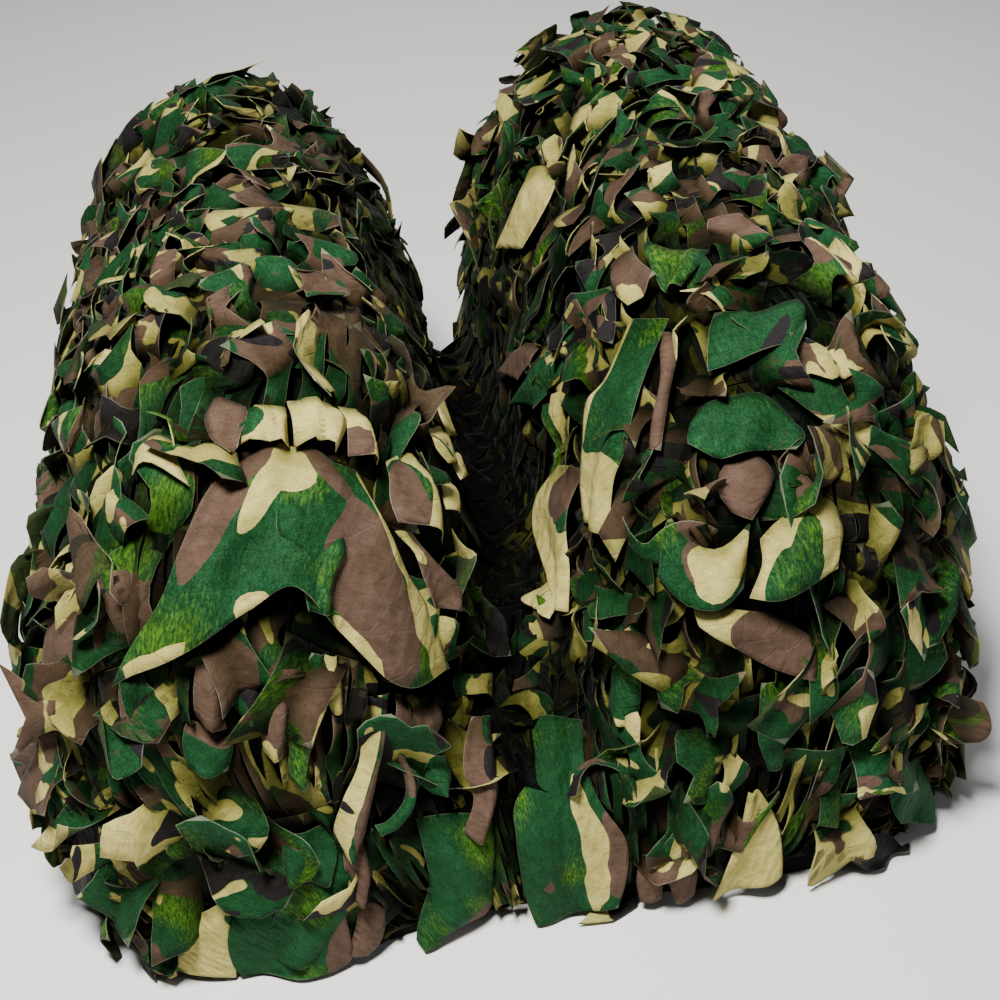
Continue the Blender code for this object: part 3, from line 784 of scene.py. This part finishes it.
        ((316, 655), (328, 657)), ((298, 698), (322, 700)), ((291, 742), (315, 745)),
        ((289, 782), (311, 790)))},
    "hangB": {"at": 0.038, "high": 0.036, "folds": 0, "print": "tan", "seen": (
        ((331, 658), (343, 661)), ((324, 688), (346, 690)), ((335, 714), (343, 712)))},
    "hangC": {"at": 0.035, "high": 0.034, "flare": 0.006, "print": "brown", "seen": (
        ((199, 650), (208, 655)), ((192, 690), (222, 700)), ((194, 718), (226, 732)))},
    "hangD": {"at": 0.033, "high": 0.030, "flare": 0.006, "print": "green",
        "motifs": (("brown", .5, 0, .6, .3),), "seen": (
        ((184, 724), (232, 743)), ((180, 748), (233, 756)), ((186, 772), (228, 776)))},
    "hangE": {"at": 0.033, "high": 0.030, "print": "black",
        "motifs": (("green", .3, .9, .4, .4),), "seen": (
        ((223, 672), (262, 682)), ((226, 700), (262, 705)), ((242, 722), (258, 726)))},
    "hangF": {"at": 0.035, "high": 0.034, "print": "brown", "motifs": (("tan", .3, 1, .4, .2),), "seen": (
        ((270, 690), (286, 688)), ((264, 722), (291, 724)), ((264, 756), (284, 762)))},
    "hangK": {"at": 0.038, "high": 0.036, "flare": 0.006, "print": "green", "seen": (
        ((414, 760), (454, 757)), ((422, 782), (456, 780)), ((437, 796), (449, 794)))},
    "hangL": {"at": 0.038, "high": 0.036, "print": "brown",
        "motifs": (("black", .9, .2, .4, .3),), "seen": (
        ((480, 713), (497, 711)), ((467, 765), (498, 768)), ((478, 800), (499, 802)),
        ((467, 836), (488, 845)))},
    "ringRight": {"at": 0.045, "high": 0.046, "folds": 0, "print": "green",
        "motifs": (("brown", .3, .2, .4, .25),), "seen": (
        ((402, 756), (414, 758)), ((410, 778), (419, 778)), ((408, 802), (417, 806)),
        ((392, 822), (402, 830)), ((376, 826), (382, 838)))},
    "mossLow": {"at": 0.033, "high": 0.032, "print": "green", "seen": (
        ((286, 842), (328, 832)), ((284, 862), (338, 855)), ((290, 884), (330, 884)))},
    "hangN": {"at": 0.035, "high": 0.034, "print": "brown", "seen": (
        ((344, 848), (366, 842)), ((346, 880), (372, 878)), ((352, 902), (370, 905)))},
    "sideBrown": {"at": 0.035, "high": 0.034, "flare": 0.006, "print": "brown", "seen": (
        ((36, 612), (70, 606)), ((24, 640), (78, 645)), ((22, 672), (70, 684)), ((34, 692), (60, 704)))},
    "sideTan": {"at": 0.035, "high": 0.034, "folds": 0, "print": "tan", "seen": (
        ((52, 560), (66, 556)), ((40, 578), (72, 575)), ((33, 600), (64, 606)))},
    "sideDark": {"high": 0.034, "flare": 0.006, "print": "black", "places": (
        ((.112, .143), (.169, .138)), ((.076, .124), (.148, .119)), ((.040, .093), (.120, .099)))},
    "cornerGreen": {"high": 0.032, "flare": 0.006, "print": "green", "places": (
        ((.792, .081), (.838, .084)), ((.805, .060), (.902, .049)), ((.836, .043), (.928, .019)))},
    "hemGreen": {"at": 0.033, "high": 0.032, "print": "green",
        "motifs": (("brown", .95, .5, .15, .5),), "seen": (
        ((240, 905), (330, 890)), ((228, 938), (347, 925)), ((232, 965), (352, 958)),
        ((245, 990), (340, 982)))},
    "hemTan": {"at": 0.030, "high": 0.030, "flare": 0.006, "folds": 0, "print": "tan",
        "motifs": (("brown", .05, .3, .2, .4),), "seen": (
        ((185, 925), (229, 905)), ((175, 945), (232, 935)), ((172, 968), (236, 976)))},
    "innerTanA": {"high": 0.030, "flare": 0.006, "folds": 0, "print": "tan", "places": (
        ((.397, .430), (.413, .458)), ((.390, .400), (.409, .428)), ((.393, .369), (.409, .397)))},
    "innerTanB": {"high": 0.032, "flare": 0.006, "folds": 0, "print": "tan", "places": (
        ((.381, .362), (.401, .396)), ((.380, .343), (.401, .372)), ((.388, .337), (.399, .350)))},
    "innerTanC": {"high": 0.034, "flare": 0.006, "folds": 0, "print": "tan", "places": (
        ((.397, .362), (.414, .394)), ((.396, .349), (.414, .377)), ((.401, .338), (.411, .356)))},
    "innerTanD": {"at": 0.032, "high": 0.034, "flare": 0.006, "folds": 0, "print": "tan",
        "motifs": (("green", .9, .3, .3, .4),), "seen": (
        ((452, 474), (462, 478)), ((447, 494), (466, 499)), ((446, 511), (461, 513)))},
    "innerGreen": {"at": 0.040, "high": 0.040, "print": "green", "seen": (
        ((534, 345), (554, 350)), ((522, 374), (546, 382)), ((509, 404), (530, 408)))},
    "innerBrown": {"at": 0.038, "high": 0.038, "folds": 0, "print": "brown", "seen": (
        ((508, 342), (524, 344)), ((500, 358), (521, 362)), ((492, 370), (512, 380)))},
    "midTan": {"at": 0.036, "high": 0.036, "flare": 0.010, "folds": 0, "print": "tan", "seen": (
        ((541, 570), (553, 574)), ((521, 594), (552, 603)), ((536, 610), (550, 620)))},
    "midGreen": {"at": 0.026, "high": 0.026, "folds": 0, "print": "green",
        "motifs": (("black", .8, .7, .4, .5),), "seen": (
        ((474, 590), (492, 586)), ((467, 608), (504, 612)), ((468, 640), (512, 655)))},
    "hemTip": {"at": 0.030, "high": 0.032, "folds": 0, "print": "brown",
        "motifs": (("tan", .6, .9, .5, .3),), "seen": (
        ((146, 928), (176, 935)), ((156, 958), (176, 962)), ((168, 986), (176, 988)))},
    "cornerCharcoal": {"at": 0.035, "high": 0.034, "print": "black", "seen": (
        ((851, 840), (900, 834)), ((850, 862), (913, 856)), ((870, 872), (912, 868)))},
}
drapeGrid = {"fine": 0.009, "fold": 0.009, "rootShade": 0.55, "inside": ((0.008, 0.992), (0.004, 0.992))}
photo = {"side": 1000, "fine": 4, "near": 4, "tilt": 0.004, "unseen": 99}


@functools.lru_cache
def seenAt(high):  # the photo pixels and the depth of a fine grid of places that lie high over the cloth
    across, along = cloth["columns"] * photo["fine"] + 1, cloth["rows"] * photo["fine"] + 1
    s, t = np.meshgrid(np.linspace(0, 1, across), np.linspace(0, 1, along), indexing="ij")
    back = backOf(camera)
    eye = camera["target"] + back * camera["distance"]
    offset = onCloth(surface, s, t) + high * onCloth(normals, s, t) - eye
    right = np.cross(-back, (0, 0, 1))
    right /= np.linalg.norm(right)
    depth = -offset @ back
    scale = photo["side"] * 0.5 / math.tan(math.radians(camera["angle"]) / 2) / depth
    half = photo["side"] / 2
    return half + offset @ right * scale, half - offset @ np.cross(right, -back) * scale, depth


def placeSeen(pixel, high):  # the place on the cloth that is seen at a pixel: the one nearest to the camera
    x, y, depth = seenAt(high)
    off = np.hypot(x - pixel[0], y - pixel[1])
    choice = np.where(off < photo["near"], depth + photo["tilt"] * off, photo["unseen"] + off)
    k = np.unravel_index(choice.argmin(), off.shape)
    return [round(i / (n - 1), 3) for i, n in zip(k, off.shape)]


def smoothLine(points, count):  # a smooth line of count + 1 places through the given ones
    points = np.asarray(points, float)
    slope = np.gradient(points, axis=0)
    x = np.linspace(0, len(points) - 1, count + 1)
    k = np.minimum(x.astype(int), len(points) - 2)
    f = (x - k).reshape((-1,) + (1,) * (points.ndim - 1))
    a, b, c, d = points[k], points[k + 1], slope[k], slope[k + 1]
    bends = f * (1 - f) ** 2 * c + f * f * (f - 1) * d
    return (1 + 2 * f) * (1 - f) ** 2 * a + f * f * (3 - 2 * f) * b + bends


printBias = {  # what each print does to the tan, brown and black motifs
    "green": (-0.20, -0.20, -0.20), "tan": (0.26, 0, -0.20), "brown": (-0.26, 0.26, -0.20),
    "black": (-0.20, 0, 0.26)}


def shapeDrape(name, d, f):
    places = d.get("places") or [[placeSeen(pixel, d["at"]) for pixel in row] for row in d["seen"]]
    size = [np.linalg.norm(np.subtract(row[-1], row[0])) for row in places]
    spine = np.array([np.mean(row, axis=0) for row in places]) * (cloth["wide"], cloth["long"])
    nx = max(4, round(max(size) * cloth["wide"] / f["fine"]))
    ny = max(8, round(np.linalg.norm(np.diff(spine, axis=0), axis=1).sum() / f["fine"]))
    rows = np.stack([smoothLine(row, nx) for row in places])
    st = smoothLine(rows, ny).transpose(1, 0, 2)[::-1]
    u, v = np.meshgrid(np.linspace(1, 0, nx + 1), np.linspace(0, 1, ny + 1), indexing="ij")
    phase = len(name) * 1.7
    high = d["high"] * (0.68 + 0.32 * smoothStep(v / 0.35)) + d["flare"] * v ** 2
    high = high * (1 - 0.30 * (2 * u - 1) ** 2 * (1 - 0.5 * v))
    if d["folds"]:
        ripple = np.sin(2 * math.pi * (d["folds"] * u + 0.35 * v) + phase)
        high = high + f["fold"] * ripple * (0.35 + 0.65 * v)
    s, t = (np.clip(st[..., k], *f["inside"][k]) for k in (0, 1))
    points = onCloth(surface, s, t) + onCloth(normals, s, t) * high[..., None]
    points[..., 2] = np.maximum(points[..., 2], offFloor)
    bias = np.zeros(u.shape + (3,)) + printBias[d["print"]]
    for kind, u0, v0, ru, rv in d["motifs"]:
        weight = smoothStep(1.5 - np.hypot((u - u0) / ru, (v - v0) / rv))[..., None]
        bias = bias * (1 - weight) + np.array(printBias[kind]) * weight
    uv = st * (cloth["wide"], cloth["long"])
    skin = thicken(points[None], flaps["thick"])[0]
    shade = f["rootShade"] + (1 - f["rootShade"]) * smoothStep(v / 0.30)
    faces, kinds, edge = closedFaces(nx, ny)
    tint = np.tile(tintRows(shade, bias.reshape(-1, 3)), (2, 1))
    return {
        "parts": (skin, np.tile(uv.reshape(-1, 2), (2, 1)), edge, tint, faces, kinds, quadAreas(uv).sum()),
        "outline": np.concatenate([st[0], st[1:, -1], st[-1, -2::-1], st[-2:0:-1, 0]]),
        "middle": st.mean(axis=(0, 1))}


def inside(outline, st):  # which places lie within an outline
    x, y = outline[:, 0], outline[:, 1]
    x2, y2 = np.roll(x, -1), np.roll(y, -1)
    px, py = st[:, :1], st[:, 1:]
    crosses = ((y > py) != (y2 > py)) & (px < (x2 - x) * (py - y) / np.where(y2 == y, 1e-9, y2 - y) + x)
    return crosses.sum(axis=1) % 2 == 1


def tintRows(shade, bias=0):  # red is the light on the cloth, the others shift its tan, brown and black print
    rows = np.zeros((shade.size, 4))
    rows[:, 0], rows[:, 1:] = shade.ravel(), bias
    return rows


draped = [shapeDrape(name, usualDrape | d, drapeGrid) for name, d in drapes.items()]
free = flapRows["kept"].copy()
freeWebs = np.ones(len(webMiddles), bool)
reach = np.stack([np.sin(flapRows["turn"]), -np.cos(flapRows["turn"])], -1) * flapRows["size"][:, None]
reach = reach / (cloth["wide"], cloth["long"])
for name, d in zip(drapes, draped):  # no flap grows through a drape, nor hangs over it for long
    for part in (0, 0.4, 0.75) if name == "patch" else (0, 0.35):
        free &= ~inside(d["outline"], flapST + reach * part)
    freeWebs &= ~inside(d["outline"], webMiddles)
print("drapes", len(draped), "flaps left", free.sum())


def flapsLike(m, flat, pick, f):  # the flaps of one strip that are cut to one shape
    f1 = {key: values[pick] for key, values in flapRows.items()}
    points, height = bendFlaps(flat, f1, rolling)
    points = thicken(keepOffFloor(points, f1["place"]), f["thick"])
    size = f1["size"][:, None]
    a, b = flat[..., 0].ravel()[None] * f1["width"][:, None] * size, flat[..., 1].ravel()[None] * size
    c, s = np.cos(f1["turn"])[:, None], np.sin(f1["turn"])[:, None]
    root = flapST[pick] * (cloth["wide"], cloth["long"])
    uv = np.stack([root[:, :1] + a * c + b * s, root[:, 1:] - b * c + a * s], -1) + f1["printAt"][:, None]
    # painted shade: each flap is darker towards its root, where it lies under the others
    paintedRootShade = f["rootShade"] + (1 - f["rootShade"]) * smoothStep(flat[..., 1].ravel() / 0.55)
    light = f1["shade"] * inValley(flapST[pick, 0], flapST[pick, 1])
    light = light[:, None] * paintedRootShade[None] * byHeight(height, f["deep"])
    return repeated(flapGrid, points, uv, light, (masterAreas[m] * f1["width"] * f1["size"] ** 2).sum())


def repeated(grid, points, uv, light, area):  # the parts of many pieces with the same grid
    faces, kinds, edge = closedFaces(*grid)
    count = len(points)
    uv, light = uv.reshape(count, -1, 2), light.reshape(count, -1)
    starts = np.arange(count) * len(edge)
    faces = (faces[None] + starts[:, None, None]).reshape(-1, 4)
    uvs, tints = np.concatenate([uv, uv], axis=1).reshape(-1, 2), tintRows(np.tile(light, 2))
    return points.reshape(-1, 3), uvs, np.tile(edge, count), tints, faces, np.tile(kinds, count), area


def buildStrip(number, chosen, f):
    parts = []
    for m, flat in enumerate(masters):
        pick = chosen[flapRows["shape"][chosen] == m]
        if len(pick):
            parts.append(flapsLike(m, flat, pick, f))
    near = np.abs(webMiddles[:, 1:2] - bandMiddles[None]).argmin(axis=1) == number - 1
    pick = np.nonzero(near & freeWebs)[0]
    skins = thicken(webPoints[pick], f["thick"])
    parts.append(repeated(webs["grid"], skins, webUv[pick], webShades[pick], webAreas[pick].sum()))
    parts += [d["parts"] for d in draped if np.abs(d["middle"][1] - bandMiddles).argmin() == number - 1]
    parts.append(leafCutSheet(number, lattice))
    verts, uvs, edges, tints, faces, kinds, areas = zip(*parts)
    starts = np.cumsum([0] + [len(v) for v in verts[:-1]])
    faces = np.concatenate([rows + start for rows, start in zip(faces, starts)])
    verts = np.concatenate(verts)
    top, room = f["top"]
    over = np.maximum(verts[:, 2] - top, 0)
    verts[:, 2] = np.maximum(np.minimum(verts[:, 2], top) + room * np.tanh(over / room), f["floor"])
    attributes = {"edge": np.concatenate(edges), "tint": np.concatenate(tints)}
    name = f"cloth_strip_{number:02d}"
    return meshFrom(name, verts, faces, np.concatenate(uvs), np.concatenate(kinds), attributes), sum(areas)


# base net: a thin, plain and dark sheet
net = {"thick": 0.0025, "every": 2}


def buildNet(f):
    nx, ny = cloth["columns"] // f["every"], cloth["rows"] // f["every"]
    bpy.ops.mesh.primitive_grid_add(x_subdivisions=nx, y_subdivisions=ny, size=2)
    obj = bpy.context.object
    obj.name = "net_sheet"
    co = np.empty(len(obj.data.vertices) * 3)
    obj.data.vertices.foreach_get("co", co)
    co = co.reshape(-1, 3)
    i = np.rint((co[:, 0] + 1) / 2 * nx).astype(int)
    j = np.rint((co[:, 1] + 1) / 2 * ny).astype(int)
    obj.data.vertices.foreach_set("co", surface[i * f["every"], j * f["every"]].ravel())
    layer = obj.data.uv_layers.active.data
    uv = np.empty(len(layer) * 2)
    layer.foreach_get("uv", uv)
    layer.foreach_set("uv", (uv.reshape(-1, 2) * (cloth["wide"], cloth["long"])).ravel())
    obj.data.update()
    bpy.ops.object.modifier_add(type="SOLIDIFY")
    obj.modifiers[-1].thickness = f["thick"]
    obj.modifiers[-1].offset = -1
    bpy.ops.object.modifier_apply(modifier=obj.modifiers[-1].name)
    for vertex in obj.data.vertices:
        vertex.co.z = max(vertex.co.z, 0)
    bpy.ops.object.shade_smooth()
    return obj


netSheet = buildNet(net)
print("net sheet", len(netSheet.data.polygons))


# materials
def newMaterial(name):
    m = bpy.data.materials.new(name)
    m.use_nodes = True
    m.node_tree.nodes.clear()
    return m, m.node_tree


def node(tree, kind, inputs, **settings):  # an input is linked to a socket or set to a value
    n = tree.nodes.new(kind)
    for key, value in settings.items():
        setattr(n, key, value)
    for key, value in inputs.items():
        if isinstance(value, bpy.types.NodeSocket):
            tree.links.new(value, n.inputs[key])
        else:
            n.inputs[key].default_value = value
    return n


def mathNode(tree, operation, a, b):
    return node(tree, "ShaderNodeMath", {0: a, 1: b}, operation=operation).outputs[0]


def plus(tree, a, b):
    return mathNode(tree, "ADD", a, b)


def times(tree, a, b):
    return mathNode(tree, "MULTIPLY", a, b)


def mixColour(tree, factor, a, b, blend="MIX"):
    inputs = {0: factor, 6: a, 7: b}
    return node(tree, "ShaderNodeMix", inputs, data_type="RGBA", blend_type=blend).outputs[2]


def noise(tree, vector, scale, detail=2.0, rough=0.5, distortion=0.0):
    inputs = {
        "Vector": vector, "Scale": scale, "Detail": detail, "Roughness": rough, "Distortion": distortion}
    return node(tree, "ShaderNodeTexNoise", inputs).outputs["Fac"]


def voronoi(tree, vector, scale, **settings):
    inputs = {"Vector": vector, "Scale": scale}
    return node(tree, "ShaderNodeTexVoronoi", inputs, **settings).outputs["Distance"]


def shifted(tree, vector, offset, stretch=(1, 1, 1)):
    inputs = {"Vector": vector, "Location": offset, "Scale": stretch}
    return node(tree, "ShaderNodeMapping", inputs).outputs[0]


def step(tree, value, low, high):
    return node(tree, "ShaderNodeMapRange", {"Value": value, "From Min": low, "From Max": high}).outputs[0]


def clothPlace(tree):
    return node(tree, "ShaderNodeUVMap", {}, uv_map="UVMap").outputs[0]


# the print's colours; the pale one laid in specks over the green is painted sheen
printed = {
    "green": (0.0085, 0.066, 0.020, 1), "deep": (0.003, 0.026, 0.008, 1), "paintedSheen": (0.070, 0.160, 0.070, 1),
    "moss": (0.078, 0.175, 0.015, 1), "stalk": (0.010, 0.046, 0.004, 1),
    "tan": (0.43, 0.375, 0.118, 1), "brown": (0.090, 0.055, 0.038, 1), "black": (0.015, 0.013, 0.0138, 1),
}
# the patches on the green: offset and stretch, the noise's scale, detail, roughness and distortion, and the
# values between which the border lies
patches = {
    "brown": ((1.3, 4.1, 0), (1, 1.3, 1), (5.4, 1.0, 0.5, 1.1), (0.545, 0.553)),
    "tan": ((6.2, 0.9, 0), (1.35, 1, 1), (6.0, 1.1, 0.5, 1.3), (0.582, 0.587)),
    "black": ((8.8, 5.3, 0), (1, 1.5, 1), (7.0, 0.7, 0.5, 1.0), (0.625, 0.633)),
}
indirect = (1.06, 1.0, 1.35)  # powers for red, green and blue: light that came off other pieces is richer


def greenCloth(tree, uv, p):  # brushed, with fine pale specks of painted sheen, and yellow-green mossy places
    tone = noise(tree, shifted(tree, uv, (3.1, 7.7, 0)), 7.0, 1.5, 0.5, 0.4)
    brushed = noise(tree, shifted(tree, uv, (9.4, 2.2, 0), (1, 0.36, 1)), 300, 4, 0.75, 0.5)
    mossy = step(tree, plus(tree, tone, times(tree, brushed, 0.34)), 0.72, 0.84)
    green = mixColour(tree, step(tree, brushed, 0.34, 0.66), p["deep"], p["green"])
    # painted sheen: fine pale specks laid over the green
    paintedSheen = times(tree, step(tree, noise(tree, uv, 520, 3, 0.8), 0.50, 0.72), 0.40)
    green = mixColour(tree, paintedSheen, green, p["paintedSheen"])
    moss = mixColour(tree, step(tree, brushed, 0.40, 0.62), p["stalk"], p["moss"])
    return mixColour(tree, mossy, green, moss)


def clothLight(tree, uv, light):  # grain, large blotches of painted light and shade, streaks, and the light that the mesh's tint leaves there
    value = plus(tree, times(tree, step(tree, noise(tree, uv, 620, 3, 0.75), 0.28, 0.72), 0.60), 0.64)
    # painted light and shade: large blotches that lighten and darken the cloth
    value = times(tree, value, plus(tree, times(tree, noise(tree, uv, 17, 5, 0.65), 1.5), 0.28))
    streaks = noise(tree, shifted(tree, uv, (2.7, 6.6, 0), (0.35, 1, 1)), 150, 3, 0.7, 0.6)
    value = times(tree, value, plus(tree, times(tree, streaks, 0.9), 0.56))
    value = times(tree, value, light)
    powers = {k: mathNode(tree, "POWER", value, power) for k, power in enumerate(indirect)}
    return node(tree, "ShaderNodeCombineColor", powers).outputs[0]


def printColour(tree, uv, p, f):  # the wash is laid over all of the print, or over its cut edges
    border = times(tree, mathNode(tree, "SUBTRACT", noise(tree, uv, 34, 1, 0.5), 0.5), 0.07)
    tint = node(tree, "ShaderNodeAttribute", {}, attribute_name="tint")
    split = node(tree, "ShaderNodeSeparateColor", {"Color": tint.outputs["Color"]}).outputs
    bias = {"tan": split[1], "brown": split[2], "black": tint.outputs["Alpha"]}
    colour = greenCloth(tree, uv, p)
    for kind, (offset, stretch, look, limits) in patches.items():
        field = noise(tree, shifted(tree, uv, offset, stretch), *look)
        field = plus(tree, plus(tree, field, bias[kind]), border)
        colour = mixColour(tree, step(tree, field, *limits), colour, p[kind])
    amount = f["amount"]
    if f["lip"]:
        edge = node(tree, "ShaderNodeAttribute", {}, attribute_name="edge").outputs["Fac"]
        amount = times(tree, step(tree, edge, *f["lip"]), amount)
    colour = mixColour(tree, amount, colour, f["wash"])
    return mixColour(tree, 1.0, colour, clothLight(tree, uv, split[0]), "MULTIPLY")


def clothBump(tree, uv, strength):  # soft dents and facets, a few sharp creases and a fine brushed weave
    height = times(tree, noise(tree, uv, 26, 2, 0.5, 0.3), 1.6)
    height = plus(tree, height, voronoi(tree, shifted(tree, uv, (4.0, 1.5, 0), (1.5, 1, 1)), 36))
    creases = voronoi(tree, shifted(tree, uv, (0, 0, 0), (1, 1.6, 1)), 22, feature="DISTANCE_TO_EDGE")
    height = plus(tree, height, times(tree, step(tree, creases, 0.0, 0.05), 0.16))
    height = plus(tree, height, times(tree, noise(tree, uv, 700, 2, 0.6), 0.16))
    inputs = {"Height": height, "Strength": strength, "Distance": 0.004}
    return node(tree, "ShaderNodeBump", inputs).outputs[0]


def finishCloth(tree, colour, rough, sheen=0.0, bump=None):
    inputs = {"Base Color": colour, "Roughness": rough, "Specular IOR Level": 0.05, "Sheen Weight": sheen,
              "Sheen Roughness": 0.4}
    if bump:
        inputs["Normal"] = bump
    shader = node(tree, "ShaderNodeBsdfPrincipled", inputs)
    node(tree, "ShaderNodeOutputMaterial", {0: shader.outputs[0]})


# the printed cloth's front, its paler and browner back, and the cut edges all round
clothSides = {
    "printed_front": {
        "wash": (0.62, 0.60, 0.45, 1), "amount": 0.20, "lip": (0.93, 0.97),
        "bump": 0.8, "rough": 0.62, "sheen": 0.015},
    "printed_back": {
        "wash": (0.050, 0.040, 0.018, 1), "amount": 0.50, "lip": None,
        "bump": 0.8, "rough": 0.66, "sheen": 0.015},
    "cut_edge": {
        "wash": (0.42, 0.40, 0.28, 1), "amount": 0.25, "lip": None,
        "bump": 0, "rough": 0.7, "sheen": 0},
}


def clothMaterial(name, f):
    m, tree = newMaterial(name)
    uv = clothPlace(tree)
    bump = clothBump(tree, uv, f["bump"]) if f["bump"] else None
    finishCloth(tree, printColour(tree, uv, printed, f), f["rough"], f["sheen"], bump)
    return m


def netMaterial():
    m, tree = newMaterial("net_scrim")
    tone = noise(tree, clothPlace(tree), 14, 3, 0.6)
    finishCloth(tree, mixColour(tree, tone, (0.0015, 0.0020, 0.0015, 1), (0.004, 0.005, 0.003, 1)), 0.85)
    return m


sides = [clothMaterial(name, f) for name, f in clothSides.items()]
netSheet.data.materials.append(netMaterial())
print("materials made")

# strips: every flap goes with the nearest sewn band
nearest = np.abs(flapST[:, 1:2] - bandMiddles[None]).argmin(axis=1)
for number in range(1, len(bandMiddles) + 1):
    chosen = np.nonzero((nearest == number - 1) & free)[0]
    obj, area = buildStrip(number, chosen, flaps)
    for m in sides:
        obj.data.materials.append(m)
    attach(obj, "root")
    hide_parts(f"garnish_strip_{number:02d}")
    print(obj.name, "flaps", len(chosen), "area", round(area, 3), "faces", len(obj.data.polygons))

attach(netSheet, "root")
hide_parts("netting")

# floor and light
studio = {
    "floor": (0.93, 0.93, 0.92, 1), "rough": 0.8, "side": 30, "below": -0.0005,
    "world": 0.035, "aim": (0, 0, 0.3),
    "lamps": {
        "key": {"place": (-0.9, -1.6, 3.5), "size": 0.7, "energy": 285, "colour": (1.0, 0.985, 0.95)},
        "fill": {"place": (2.6, -2.2, 2.0), "size": 1.6, "energy": 8, "colour": (0.95, 0.98, 1.0)},
        "back": {"place": (0.8, 2.8, 2.6), "size": 1.6, "energy": 40, "colour": (1.0, 1.0, 1.0)},
    },
}


def buildFloor(f):
    bpy.ops.mesh.primitive_plane_add(size=f["side"], location=(0, 0, f["below"]))
    floor = bpy.context.object
    floor.name = "floor"
    m, tree = newMaterial("floor")
    shader = node(tree, "ShaderNodeBsdfPrincipled", {"Base Color": f["floor"], "Roughness": f["rough"]})
    node(tree, "ShaderNodeOutputMaterial", {0: shader.outputs[0]})
    floor.data.materials.append(m)


def buildLight(f):
    world = bpy.data.worlds.new("studio")
    bpy.context.scene.world = world
    world.use_nodes = True
    background = world.node_tree.nodes["Background"].inputs
    background[0].default_value, background[1].default_value = (1, 1, 1, 1), f["world"]
    for name, lamp in f["lamps"].items():
        bpy.ops.object.light_add(type="AREA", location=lamp["place"])
        obj = bpy.context.object
        obj.name = name
        obj.data.size, obj.data.energy, obj.data.color = lamp["size"], lamp["energy"], lamp["colour"]
        obj.rotation_euler = (Vector(f["aim"]) - Vector(lamp["place"])).to_track_quat("-Z", "Y").to_euler()


buildFloor(studio)
buildLight(studio)
print("studio set")
